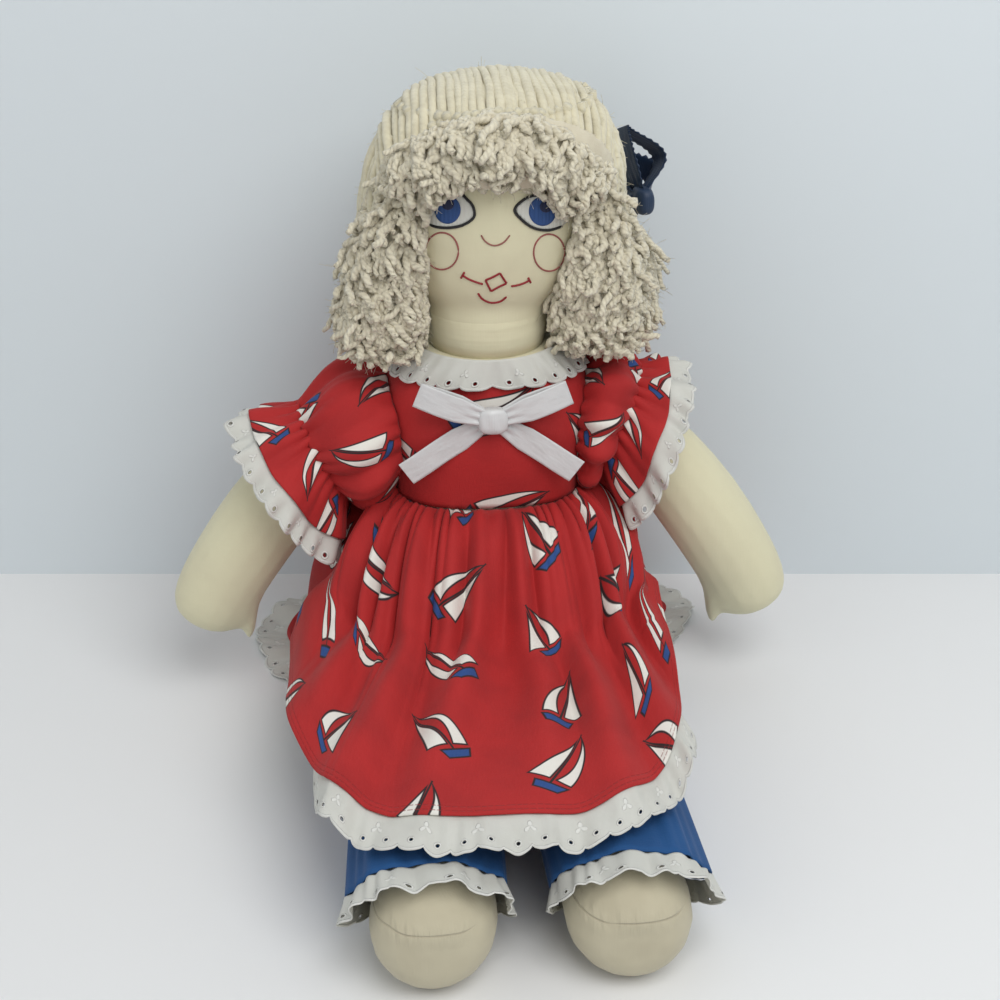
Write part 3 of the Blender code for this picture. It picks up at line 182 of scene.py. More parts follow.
class Paint:
    """One material, built from values, expressions and a Principled shader."""

    def __init__(self, name: str) -> None:
        """Starts an empty material."""
        self.material = bpy.data.materials.new(name)
        self.material.use_nodes = True
        self.tree = self.material.node_tree
        self.shader = self.tree.nodes["Principled BSDF"]

    def node(self, kind: str, settings: dict, inputs: dict, output: int | str = 0) -> Sock:
        """Adds any node.

        Args:
            kind: The node's type.
            settings: Properties to set before its sockets.
            inputs: Values or links, by socket name or number.
            output: The output to return.

        Returns:
            The chosen output.
        """
        made = self.tree.nodes.new(kind)
        for key, value in settings.items():
            setattr(made, key, value)
        for key, value in inputs.items():
            self.feed(made.inputs[key], value)
        return Sock(self, made.outputs[output])

    def feed(self, socket: bpy.types.NodeSocket, value: object) -> None:
        """Links or sets one socket."""
        if isinstance(value, Sock):
            self.tree.links.new(value.socket, socket)
        else:
            socket.default_value = value

    def objects(self) -> Sock:
        """Object coordinates."""
        return self.node("ShaderNodeTexCoord", {}, {}, "Object")

    def cloth(self) -> tuple[Sock, Sock, Sock]:
        """The map in metres of flat cloth: the vector, the way along and the way up."""
        place = self.node("ShaderNodeTexCoord", {}, {}, "UV")
        return place, *self.split(place)[:2]

    def split(self, place: Sock) -> tuple[Sock, Sock, Sock]:
        """The three parts of a vector."""
        made = self.tree.nodes.new("ShaderNodeSeparateXYZ")
        self.feed(made.inputs[0], place)
        return tuple(Sock(self, output) for output in made.outputs)

    def join(self, x: Sock | float, y: Sock | float, z: Sock | float = 0.0) -> Sock:
        """A vector from its parts."""
        return self.node("ShaderNodeCombineXYZ", {}, {0: x, 1: y, 2: z})

    def stretch(self, place: Sock, scale: tuple[float, float, float]) -> Sock:
        """A vector times a scale for each part."""
        return self.node("ShaderNodeVectorMath", {"operation": "MULTIPLY"}, {0: place, 1: scale})

    def noise(self, place: Sock, scale: float, detail: float = 2.0, rough: float = 0.5) -> Sock:
        """Soft noise about one half."""
        inputs = {"Vector": place, "Scale": scale, "Detail": detail, "Roughness": rough}
        return self.node("ShaderNodeTexNoise", {}, inputs)

    def mix(self, share: Sock | float, first: object, second: object) -> Sock:
        """A colour between two colours."""
        inputs = {"Factor": share, 6: self.tint(first), 7: self.tint(second)}
        return self.node("ShaderNodeMix", {"data_type": "RGBA"}, inputs, 2)

    @staticmethod
    def tint(colour: object) -> object:
        """A colour with its fourth value."""
        return (*colour, 1.0) if isinstance(colour, tuple) and len(colour) == 3 else colour

    def grain(self, place: Sock, scale: tuple[float, float, float], detail: float = 2.0) -> Sock:
        """Soft noise that is drawn out by a scale for each part."""
        return self.noise(self.stretch(place, scale), 1.0, detail)

    def threads(self, place: Sock, coarse: float, fine: float) -> Sock:
        """The threads of flat cloth, both ways added up."""
        return self.grain(place, (coarse, fine, 1.0)) + self.grain(place, (fine, coarse, 1.0))

    def finish(self, colour: object, rough: object, height: Sock | None = None, reach: float = 0.001,
               strength: float = 0.5, **constants: object) -> bpy.types.Material:
        """Feeds the shader.

        Args:
            colour: Base colour, a value or a link.
            rough: Roughness, a value or a link.
            height: Heights for the bump, if it has one.
            reach: The bump's distance in metres.
            strength: The bump's strength.
            constants: Further plain sockets, with underscores for blanks.

        Returns:
            The material.
        """
        self.feed(self.shader.inputs["Base Color"], self.tint(colour))
        self.feed(self.shader.inputs["Roughness"], rough)
        if height is not None:
            inputs = {"Height": height, "Distance": reach, "Strength": strength}
            self.feed(self.shader.inputs["Normal"], self.node("ShaderNodeBump", {}, inputs))
        for key, value in constants.items():
            self.feed(self.shader.inputs[key.replace("_", " ")], value)
        return self.material


# Finishes


@dataclass(frozen=True)
class Muslin:
    """Plain cream cotton over stuffing, a little blotched with age."""

    name: str = "muslin"
    colour: tuple = (0.690, 0.655, 0.455)
    aged: tuple = (0.580, 0.530, 0.370)
    pitch: float = 0.0007
    creases: float = 0.0

    def build(self) -> bpy.types.Material:
        """The material."""
        paint = Paint(self.name)
        place = paint.objects()
        blotch = paint.noise(place, 22.0, 3.0, 0.6).soft(0.42, 0.78)
        slub = paint.grain(place, (900.0, 900.0, 60.0))
        weft = paint.grain(place, (60.0, 60.0, 900.0))
        colour = paint.mix(blotch * 0.45, self.colour, self.aged)
        colour = paint.mix((slub + weft) * 0.10, colour, self.aged)
        lump = paint.noise(place, 55.0, 2.0)
        height = slub * 0.10 + weft * 0.10 + lump * 0.8
        if self.creases:
            crease = paint.grain(place, (14.0, 14.0, 210.0), 1.0)
            height = height + crease * self.creases
        return paint.finish(colour, 0.85, height, 0.0016, 0.45, Sheen_Weight=0.15)


@dataclass(frozen=True)
class ShadedFootMuslin:
    """The muslin of a foot, darkened all over as painted shade, with the puckered seam across its front."""

    name: str = "shaded_foot_muslin"
    # colour and aged are the muslin's colours darkened: painted shade on the feet
    colour: tuple = (0.520, 0.475, 0.345)
    aged: tuple = (0.410, 0.365, 0.260)
    seam_height: float = 0.0455
    front: float = -0.268

    def build(self) -> bpy.types.Material:
        """The material."""
        paint = Paint(self.name)
        place = paint.objects()
        x, y, z = paint.split(place)
        blotch = paint.noise(place, 26.0, 3.0, 0.6).soft(0.40, 0.75)
        wander = (paint.noise(place, 45.0, 1.0) - 0.5) * 0.003
        away = (z - self.seam_height + wander).math("ABSOLUTE")
        ahead = (y * -1.0).soft(-self.front, -self.front + 0.012)
        ahead = ahead * paint.grain(place, (60.0, 1.0, 1.0), 0.0).soft(0.30, 0.55)
        seam = (1.0 - away.soft(0.0001, 0.0007)) * ahead
        near = (1.0 - away.soft(0.0005, 0.0090)) * ahead
        pucker = paint.grain(place, (330.0, 90.0, 60.0))
        threads = paint.grain(place, (900.0, 900.0, 70.0))
        colour = paint.mix(blotch * 0.5, self.colour, self.aged)
        colour = paint.mix(seam * 0.32, colour, (0.24, 0.19, 0.13))
        height = pucker * near * 2.2 - seam * 0.8 + threads * 0.12 + paint.noise(place, 60.0) * 0.9
        return paint.finish(colour, 0.85, height, 0.0016, 0.5, Sheen_Weight=0.15)


@dataclass(frozen=True)
class Yarn:
    """Soft two-ply yarn whose plies wind along each strand, with painted shade in the grooves between the plies.
    """

    name: str = "yarn"
    colour: tuple = (0.690, 0.640, 0.465)
    shade: tuple = (0.520, 0.470, 0.325)
    ply_length: float = 0.0042
    ply_depth: float = 0.35
    ply_groove_shade: float = 0.15

    def build(self) -> bpy.types.Material:
        """The material."""
        paint = Paint(self.name)
        _, around, along = paint.cloth()
        place = paint.objects()
        ply = ((around * 2.0 + along / self.ply_length) * math.pi).math("SINE").math("ABSOLUTE")
        fuzz = paint.noise(place, 1500.0, 2.0)
        tuft = paint.noise(place, 110.0, 2.0).soft(0.35, 0.70)
        colour = paint.mix(tuft * 0.50, self.colour, self.shade)
        # painted shade: darker in the grooves between the plies
        colour = paint.mix((1.0 - ply) * self.ply_groove_shade, colour, self.shade)
        height = ply * self.ply_depth + fuzz * 0.9
        return paint.finish(colour, 0.95, height, 0.0007, 0.7, Sheen_Weight=0.35, Sheen_Roughness=0.6)


@dataclass(frozen=True)
class BoatPrint:
    """Red cotton printed with plain little sailing boats that are tossed about."""

    name: str = "boat_print"
    red: tuple = (0.450, 0.014, 0.014)
    deep: tuple = (0.280, 0.007, 0.008)
    sail: tuple = (0.780, 0.760, 0.700)
    hull: tuple = (0.018, 0.070, 0.250)
    ink: tuple = (0.020, 0.010, 0.012)
    cell: float = 0.061
    size: float = 0.047
    toss: float = 0.22
    swing: float = 2.6
    line: float = 0.011
    edge: float = 0.006
    stitch: float = 0.0032
    stitch_rows: tuple = ()

    @staticmethod
    def side_of(x: Sock, y: Sock, first: tuple[float, float], second: tuple[float, float]) -> Sock:
        """How far a place lies outside the line from one point to another, on the line's right."""
        dx, dy = second[0] - first[0], second[1] - first[1]
        length = math.hypot(dx, dy)
        return x * (dy / length) - y * (dx / length) - (first[0] * dy - first[1] * dx) / length

    def shape(self, x: Sock, y: Sock, corners: Pixels) -> Sock:
        """How far a place lies outside a shape whose corners run anticlockwise."""
        lines = [self.side_of(x, y, a, b) for a, b in zip(corners, (*corners[1:], corners[0]))]
        out = lines[0]
        for line in lines[1:]:
            out = out.most(line)
        return out

    def boat(self, x: Sock, y: Sock) -> tuple[Sock, Sock, Sock]:
        """How far a place lies outside the sails, the hull and the mast of a boat one unit tall."""
        belly = (y + 0.25) * (0.47 - y) * 0.62
        main = self.shape(x - belly, y, ((0.035, -0.25), (0.215, -0.27), (0.030, 0.46)))
        jib = self.shape(x - belly * 0.15, y, ((-0.270, -0.25), (-0.035, -0.25), (-0.030, 0.42)))
        hull = self.shape(x, y, ((-0.13, -0.43), (0.13, -0.43), (0.20, -0.32), (-0.16, -0.32)))
        mast = self.shape(x, y, ((-0.010, -0.33), (0.010, -0.33), (0.005, 0.54), (-0.005, 0.54)))
        return main.least(jib), hull, mast

    def build(self) -> bpy.types.Material:
        """The material."""
        paint = Paint(self.name)
        place, along, up = paint.cloth()
        column = (along / self.cell).math("FLOOR")
        shift = (column * 0.5).math("FRACT")
        row = (up / self.cell + shift).math("FLOOR")
        number = paint.join(column + 3.5, row + 7.5)
        chance = {"noise_dimensions": "2D"}
        first = paint.node("ShaderNodeTexWhiteNoise", chance, {"Vector": number}, "Color")
        turn, move, tall = paint.split(first)
        x = (along / self.cell).math("FRACT") - 0.5 + (move - 0.5) * self.toss
        y = (up / self.cell + shift).math("FRACT") - 0.5 + (tall - 0.5) * self.toss
        angle = (turn - 0.5) * self.swing
        sine, cosine = angle.math("SINE"), angle.math("COSINE")
        grow = self.cell / self.size
        across = (x * cosine - y * sine) * grow
        rise = (x * sine + y * cosine) * grow
        flip = (move - 0.5).math("SIGN")
        sails, hull, mast = self.boat(across * flip, rise)
        outer = (self.line - self.edge, self.line + self.edge)
        inner = (-self.line - self.edge, -self.line + self.edge)
        ink = 1.0 - sails.least(hull).soft(*outer)
        ink = ink.most(1.0 - mast.soft(0.0, 0.009))
        white = 1.0 - sails.soft(*inner)
        blue = 1.0 - hull.soft(*inner)
        fade = paint.noise(place, 34.0, 2.0).soft(0.35, 0.75)
        threads = paint.threads(place, 220.0, 1600.0)
        colour = paint.mix(fade * 0.45, self.red, self.deep)
        colour = paint.mix(threads * 0.18, colour, self.deep)
        colour = paint.mix(ink, colour, self.ink)
        colour = paint.mix(white * 0.97, colour, self.sail)
        colour = paint.mix(blue * 0.95, colour, self.hull)
        height = threads * 0.25 + paint.noise(place, 90.0, 3.0) * 0.6
        for level in self.stitch_rows:
            near = 1.0 - (up - level).math("ABSOLUTE").soft(0.0001, 0.0006)
            dash = (along / self.stitch).math("FRACT").soft(0.12, 0.30)
            colour = paint.mix(near * dash * 0.60, colour, self.deep)
            height = height - near * dash * 0.9
        return paint.finish(colour, 0.82, height, 0.0010, 0.5, Sheen_Weight=0.04, Sheen_Roughness=0.5)


@dataclass(frozen=True)
class PlainCotton:
    """Plain woven cotton."""

    name: str = "blue_cotton"
    colour: tuple = (0.008, 0.078, 0.240)
    deep: tuple = (0.004, 0.048, 0.160)

    def build(self) -> bpy.types.Material:
        """The material."""
        paint = Paint(self.name)
        place, _, _ = paint.cloth()
        threads = paint.threads(place, 200.0, 1500.0)
        worn = paint.noise(place, 30.0, 3.0).soft(0.35, 0.75)
        colour = paint.mix(worn * 0.5, self.colour, self.deep)
        colour = paint.mix(threads * 0.2, colour, self.deep)
        height = threads * 0.3 + paint.noise(place, 80.0, 2.0) * 0.5
        return paint.finish(colour, 0.85, height, 0.0010, 0.5, Sheen_Weight=0.04)


@dataclass(frozen=True)
class Eyelet:
    """White cotton lace with a stitched edge, a round hole in each scallop and sewn sprigs between."""

    name: str = "eyelet"
    depth: float = 0.022
    pitch: float = SCALLOP
    colour: tuple = (0.590, 0.590, 0.545)
    aged: tuple = (0.50, 0.50, 0.45)
    thread: tuple = (0.710, 0.710, 0.670)
    hole_radius: float = 0.0011
    hole_share: float = 0.24
    sprig_share: float = 0.50
    stitch: float = 0.0006

    def build(self) -> bpy.types.Material:
        """The material."""
        paint = Paint(self.name)
        place, along, up = paint.cloth()
        across = ((along / self.pitch).math("FRACT") - 0.5) * self.pitch
        below = self.depth - up
        from_hole = self.away(across, below - self.depth * self.hole_share)
        hole = 1.0 - from_hole.soft(self.hole_radius * 0.85, self.hole_radius * 1.1)
        ring = 1.0 - (from_hole - self.hole_radius * 1.45).math("ABSOLUTE").soft(0.0002, 0.0006)
        double = self.pitch * 2.0
        pair = ((along / double).math("FRACT") - 0.5) * double
        sprig = self.sprig(pair, below - self.depth * self.sprig_share)
        edge = 1.0 - below.soft(0.0013, 0.0019)
        satin = ((along / self.stitch).math("FRACT") - 0.5).math("ABSOLUTE")
        sewn = ring.most(sprig).most(edge)
        shade = paint.noise(place, 60.0, 3.0).soft(0.35, 0.75)
        colour = paint.mix(shade * 0.35, self.colour, self.aged)
        colour = paint.mix(sewn * 0.9, colour, self.thread)
        weave = paint.grain(place, (1400.0, 1400.0, 1.0), 1.0)
        height = sewn * 0.9 + satin * edge * 0.5 + weave * 0.15
        return paint.finish(colour, 0.82, height, 0.0007, 0.8, Alpha=1.0 - hole, Sheen_Weight=0.1)

    @staticmethod
    def away(x: Sock, y: Sock) -> Sock:
        """The distance of a place from nought."""
        return (x * x + y * y).math("SQRT")

    def sprig(self, x: Sock, y: Sock) -> Sock:
        """Three sewn petals and a stalk."""
        radius = self.away(x, y)
        angle = x.math("ARCTAN2", y)
        petal = (angle * 1.5).math("COSINE").math("ABSOLUTE") * (self.depth * 0.13)
        return 1.0 - (radius - petal).soft(-0.0003, 0.0004)


@dataclass(frozen=True)
class Satin:
    """Satin ribbon, smooth with fine ribs across, with streaks of painted shade that stand for its sheen."""

    name: str = "white_satin"
    colour: tuple = (0.640, 0.645, 0.645)
    rough: float = 0.24
    rib: float = 0.0005

    def build(self) -> bpy.types.Material:
        """The material."""
        paint = Paint(self.name)
        place, along, _ = paint.cloth()
        ribs = (along * (math.pi / self.rib)).math("SINE").math("ABSOLUTE")
        sheen_streaks = paint.grain(place, (70.0, 190.0, 1.0))
        deep = tuple(part * 0.82 for part in self.colour)
        # painted shade: streaks that stand for the satin's sheen, also fed to the bump
        colour = paint.mix(sheen_streaks.soft(0.3, 0.8) * 0.30, self.colour, deep)
        height = ribs * 0.12 + sheen_streaks * 1.5
        return paint.finish(colour, self.rough, height, 0.0010, 0.5, Sheen_Weight=0.05)


@dataclass(frozen=True)
class Floss:
    """Embroidery thread in one colour, laid in short stitches."""

    name: str
    colour: tuple
    stitch: float = 0.0022
    rough: float = 0.55

    def build(self) -> bpy.types.Material:
        """The material."""
        paint = Paint(self.name)
        place, around, along = paint.cloth()
        twist = ((around + along / self.stitch) * math.tau).math("SINE")
        strands = paint.grain(place, (1.0, 2400.0, 1.0), 1.0)
        deep = tuple(part * 0.55 for part in self.colour)
        colour = paint.mix(strands * 0.6, self.colour, deep)
        height = twist * 0.4 + strands * 0.4
        return paint.finish(colour, self.rough, height, 0.0004, 0.6)


# Modelling steps that several pieces share


class Bench:
    """The modelling bench."""

    @staticmethod
    def take(piece: bpy.types.Object) -> None:
        """Makes a piece the only selected one."""
        bpy.ops.object.select_all(action="DESELECT")
        piece.select_set(True)
        bpy.context.view_layer.objects.active = piece

    @staticmethod
    def apply(piece: bpy.types.Object) -> None:
        """Applies a piece's modifiers."""
        Bench.take(piece)
        for step in list(piece.modifiers):
            bpy.ops.object.modifier_apply(modifier=step.name)

    @staticmethod
    def edited(piece: bpy.types.Object, step: Callable[[], object]) -> None:
        """Runs one step of edit mode on the whole of a piece."""
        Bench.take(piece)
        bpy.ops.object.mode_set(mode="EDIT")
        bpy.ops.mesh.select_all(action="SELECT")
        step()
        bpy.ops.object.mode_set(mode="OBJECT")

    @staticmethod
    def merge(piece: bpy.types.Object, reach: float = 0.00001) -> None:
        """Merges corners that lie on each other."""
        Bench.edited(piece, lambda: bpy.ops.mesh.remove_doubles(threshold=reach))

    @staticmethod
    def read(items: bpy.types.bpy_prop_collection, key: str) -> np.ndarray:
        """One vector of each item, one row each."""
        values = np.empty(len(items) * 3)
        items.foreach_get(key, values)
        return values.reshape(-1, 3)

    @staticmethod
    def corners(piece: bpy.types.Object) -> np.ndarray:
        """A piece's corners, one row each."""
        return Bench.read(piece.data.vertices, "co")

    @staticmethod
    def move(piece: bpy.types.Object, places: np.ndarray) -> None:
        """Moves a piece's corners."""
        piece.data.vertices.foreach_set("co", places.astype(np.float32).ravel())
        piece.data.update()

    @staticmethod
    def loops(mesh: bpy.types.Mesh) -> np.ndarray:
        """The number of the corner at each loop."""
        numbers = np.empty(len(mesh.loops), dtype=np.int64)
        mesh.loops.foreach_get("vertex_index", numbers)
        return numbers

    @staticmethod
    def map(layer: bpy.types.MeshUVLoopLayer, flat: np.ndarray) -> None:
        """Writes a map, one row for each loop."""
        layer.data.foreach_set("uv", flat.astype(np.float32).ravel())

    @staticmethod
    def rays(piece: bpy.types.Object) -> BVHTree:
        """A tree of a piece's faces for casting rays."""
        faces = [tuple(face.vertices) for face in piece.data.polygons]
        return BVHTree.FromPolygons([vertex.co for vertex in piece.data.vertices], faces)

    @staticmethod
    def face_out(piece: bpy.types.Object) -> None:
        """Turns the faces of an open sheet away from its middle."""
        centres, normals = (Bench.read(piece.data.polygons, key) for key in ("center", "normal"))
        if (normals * (centres - centres.mean(axis=0))).sum() < 0:
            Bench.edited(piece, bpy.ops.mesh.flip_normals)

    @staticmethod
    def lay(name: str, columns: int, rows: int, form: Form, flat: tuple[float, float]) -> bpy.types.Object:
        """Adds a grid of cloth and lays its corners on a form.

        Args:
            name: The piece's name.
            columns: Faces round the piece.
            rows: Faces along the piece.
            form: Gives places from the shares round and along.
            flat: Width and length of the flat cloth in metres, for its map.

        Returns:
            The open sheet, with its map in metres.
        """
        bpy.ops.object.select_all(action="DESELECT")
        bpy.ops.mesh.primitive_grid_add(x_subdivisions=columns, y_subdivisions=rows, size=2.0)
        piece = bpy.context.object
        piece.name = name
        piece.data.name = name
        shares = (Bench.corners(piece)[:, :2] + 1) / 2
        Bench.move(piece, form(shares[:, 0], shares[:, 1]))
        Bench.map(piece.data.uv_layers.active, (shares * np.array(flat))[Bench.loops(piece.data)])
        Bench.merge(piece)
        Bench.face_out(piece)
        return piece

    @staticmethod
    def thicken(piece: bpy.types.Object, cloth: float, offset: float = 1.0) -> None:
        """Gives a sheet its cloth and smooths it."""
        shell = piece.modifiers.new("cloth", "SOLIDIFY")
        shell.thickness = cloth
        shell.offset = offset
        shell.use_quality_normals = True
        Bench.apply(piece)
        piece.data.shade_smooth()

    @staticmethod
    def restuff(node: str, name: str, voxel: float, rounds: int, swell: float = 0.0,
                joined: bpy.types.Object | None = None) -> bpy.types.Object:
        """Copies a stuffed solid and makes its surface fine and round.

        Args:
            node: The solid.
            name: The new piece's name.
            voxel: Size of the new faces.
            rounds: Rounds of smoothing.
            swell: How far the surface is pushed out after that.
            joined: A form that is grown together with it.

        Returns:
            The new piece.
        """
        piece = bpy.data.objects.new(name, frame["nodes"][node].data.copy())
        bpy.context.scene.collection.objects.link(piece)
        piece.data.materials.clear()
        Bench.merge(piece)
        if joined:
            joined.select_set(True)
            bpy.ops.object.join()
        remesh = piece.modifiers.new("fine", "REMESH")
        remesh.mode = "VOXEL"
        remesh.voxel_size = voxel
        rounding = piece.modifiers.new("round", "SMOOTH")
        rounding.iterations = rounds
        rounding.factor = 0.5
        full = piece.modifiers.new("full", "DISPLACE")
        full.strength = swell
        full.mid_level = 0.0
        Bench.apply(piece)
        piece.data.shade_smooth()
        return piece

    @staticmethod
    def tubes(name: str, paths: np.ndarray, radii: np.ndarray, sides: int) -> bpy.types.Object:
        """Winds tubes along many paths at once.

        Args:
            name: The piece's name.
            paths: Points by strand, station and part.
            radii: Radii by strand and station.
            sides: Faces round each tube.

        Returns:
            One closed mesh, with a map of shares round and metres along.
        """
        count, stations, _ = paths.shape
        tangents = unit(np.gradient(paths, axis=1))
        rise = np.cross(tangents[:, 0], np.array([0.31, 0.57, 0.76]))
        rises = np.empty_like(paths)
        for station in range(stations):
            along = tangents[:, station]
            rise = unit(rise - along * (rise * along).sum(axis=1, keepdims=True))
            rises[:, station] = rise
        beside = np.cross(tangents, rises)
        angles = math.tau * np.arange(sides)[:, None] / sides
        away = rises[:, :, None] * np.cos(angles) + beside[:, :, None] * np.sin(angles)
        places = paths[:, :, None] + radii[:, :, None, None] * away
        number = np.arange(count * stations * sides).reshape(count, stations, sides)
        quads = ring_faces(number)
        caps = [tuple(ring) for ring in (*number[:, 0, ::-1], *number[:, -1])]
        mesh = bpy.data.meshes.new(name)
        mesh.from_pydata(places.reshape(-1, 3).tolist(), [], quads.tolist() + caps)
        apart = 0.37
        flat = np.empty((count, stations, sides, 2))
        flat[..., 0] = np.arange(sides) / sides
        flat[..., 1] = (run_along(paths, 1) + np.arange(count)[:, None] * apart)[:, :, None]
        spread = flat.reshape(-1, 2)[Bench.loops(mesh)]
        wrapped = spread[: len(quads) * 4].reshape(-1, 4, 2)
        wrapped[:, 1:3, 0] += (wrapped[:, 1:3, 0] < wrapped[:, 0:1, 0] - 0.001) * 1.0
        Bench.map(mesh.uv_layers.new(name="flat"), spread)
        mesh.shade_smooth()
        piece = bpy.data.objects.new(name, mesh)
        bpy.context.scene.collection.objects.link(piece)
        return piece

    @staticmethod
    def dress(piece: bpy.types.Object, finish: bpy.types.Material, body: str, slot: str, *nodes: str) -> None:
        """Gives a piece its finish and its body, and hides the solids that it stands for."""
        piece.data.materials.clear()
        piece.data.materials.append(finish)
        if "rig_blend" not in piece:
            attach(piece, body)
        if nodes:
            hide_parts(*nodes)
        log.info("%s: %d faces on %s", piece.name, len(piece.data.polygons), body)


# Curves and waves


def eased(value: np.ndarray) -> np.ndarray:
    """Shares that start and end softly between 0 and 1."""
    value = np.clip(value, 0.0, 1.0)
    return value * value * (3 - 2 * value)


def unit(ways: np.ndarray) -> np.ndarray:
    """Directions of length one."""
    return ways / np.maximum(np.linalg.norm(ways, axis=-1, keepdims=True), 1e-12)


def signed(value: np.ndarray, power: float | np.ndarray) -> np.ndarray:
    """Values to a power, with the signs that they had."""
    return np.sign(value) * np.abs(value) ** power


def squared(turn: np.ndarray, half_width: float | np.ndarray, half_depth: float | np.ndarray,
            power: float | np.ndarray) -> tuple[np.ndarray, np.ndarray]:
    """Both parts of places round an oval, which is squarer the higher its power."""
    angle = math.tau * turn
    return half_width * signed(np.cos(angle), 2 / power), half_depth * signed(np.sin(angle), 2 / power)


def run_along(places: np.ndarray, axis: int) -> np.ndarray:
    """Lengths along lines of places, from nought at each start."""
    steps = np.linalg.norm(np.diff(places, axis=axis), axis=-1)
    start = np.zeros_like(np.take(steps, [0], axis=axis))
    return np.concatenate([start, np.cumsum(steps, axis=axis)], axis=axis)


def ring_faces(number: np.ndarray) -> np.ndarray:
    """Faces between rings of numbered corners."""
    ahead = np.roll(number, -1, axis=-1)
    corners = [number[..., :-1, :], ahead[..., :-1, :], ahead[..., 1:, :], number[..., 1:, :]]
    return np.stack(corners, axis=-1).reshape(-1, 4)


@dataclass(frozen=True)
class Ripples:
    """Small uneven waves that repeat after one turn round a piece."""

    seed: int
    count: int
    around: tuple[int, int]
    along: tuple[float, float]
    height: float

    def __call__(self, u: np.ndarray, v: np.ndarray) -> np.ndarray:
        """The waves' heights."""
        rng = np.random.default_rng(self.seed)
        total = np.zeros_like(u)
        for _ in range(self.count):
            turns = int(rng.integers(self.around[0], self.around[1] + 1))
            slant = rng.uniform(*self.along)
            size = rng.uniform(0.5, 1.0)
            total += size * np.sin(math.tau * (turns * u + slant * v) + rng.uniform(0, math.tau))
        return total * self.height / math.sqrt(self.count)


def pleats(u: np.ndarray, count: int, seed: int, sharp: float = 1.0) -> np.ndarray:
    """Rounded folds of uneven width, from 0 in the valleys to 1 on the ridges."""
    drift = Ripples(seed, 5, (1, max(count // 3, 2)), (0.0, 0.0), 0.30)(u, np.zeros_like(u))
    return (0.5 + 0.5 * np.cos(math.tau * (count * u + drift))) ** sharp


def raised(form: Form, lift: Field) -> Form:
    """A form whose places are pushed out along its normals by a field."""

    def place(u: np.ndarray, v: np.ndarray) -> np.ndarray:
        """The pushed places."""
        base = form(u, v)
        around = form(u + EPS, v) - form(u - EPS, v)
        along = form(u, np.minimum(v + EPS, 1.0)) - form(u, np.maximum(v - EPS, 0.0))
        normal = unit(np.cross(around, along))
        if (normal * (base - base.mean(axis=0))).sum() < 0:
            normal = -normal
        return base + normal * lift(u, v)[:, None]

    return place


def scalloped(form: Form, count: int, bite: float) -> Form:
    """A form whose far edge is cut in scallops."""

    def place(u: np.ndarray, v: np.ndarray) -> np.ndarray:
        """The cut places."""
        arch = np.abs(np.sin(math.pi * count * u)) ** 0.6
        return form(u, v * (1 - bite * (1 - arch)))

    return place


def mirrored(form: Form, side: Side) -> Form:
    """A form moved to one side of the doll."""
    return lambda u, v: form(u, v) * np.array([side.sign, 1.0, 1.0])


# Forms of the doll, the same as its solids


@dataclass(frozen=True)
class Trunk:
    """The stuffed trunk's sections: height, half width, half depth, setback and squareness."""

    keys: tuple = (
        (0.0019, 0.050, 0.029, 0.012, 5.0),
        (0.030, 0.064, 0.044, 0.0, 5.0),
        (0.075, 0.065, 0.047, 0.0, 3.2),
        (0.143, 0.055, 0.041, 0.0, 2.6),
        (0.192, 0.060, 0.044, 0.0, 2.6),
        (0.222, 0.055, 0.039, 0.0, 2.4),
        (0.238, 0.041, 0.0385, 0.0, 2.0),
    )
    waist: float = 0.143
    neckline: float = 0.238

    def section(self, height: np.ndarray) -> np.ndarray:
        """Half width, half depth, setback and squareness at heights."""
        keys = np.array(self.keys)
        heights = keys[:, 0]
        height = np.clip(height, heights[0], heights[-1])
        place = np.clip(np.searchsorted(heights, height, side="right") - 1, 0, len(heights) - 2)
        span = heights[place + 1] - heights[place]
        share = ((height - heights[place]) / span)[:, None]
        slopes = np.gradient(keys[:, 1:], heights, axis=0)
        slopes[1] = 0
        low, high = keys[place, 1:], keys[place + 1, 1:]
        span = span[:, None]
        return (
            low * (1 + 2 * share) * (1 - share) ** 2
            + high * share**2 * (3 - 2 * share)
            + span * slopes[place] * share * (1 - share) ** 2
            - span * slopes[place + 1] * share**2 * (1 - share)
        )

    def ring(self, turn: np.ndarray, height: np.ndarray, offset: float,
             level: np.ndarray | None = None) -> np.ndarray:
        """Places round the trunk, pushed out by an offset."""
        half_width, half_depth, setback, power = self.section(height).T
        x, y = squared(turn, half_width + offset, half_depth + offset, power)
        return np.stack([x, setback + y, height if level is None else level], axis=1)

    def front(self, across: np.ndarray, height: np.ndarray, offset: float) -> np.ndarray:
        """How far the front of the trunk stands forward."""
        half_width, half_depth, setback, power = self.section(height).T
        share = np.minimum(np.abs(across) / (half_width + offset), 1.0)
        return (half_depth + offset) * (1 - share**power) ** (1 / power) - setback

    def side(self, back: np.ndarray, height: np.ndarray, offset: float) -> np.ndarray:
        """How far the side of the trunk stands out."""
        half_width, half_depth, setback, power = self.section(height).T
        share = np.minimum(np.abs(back - setback) / (half_depth + offset), 1.0)
        return (half_width + offset) * (1 - share**power) ** (1 / power)


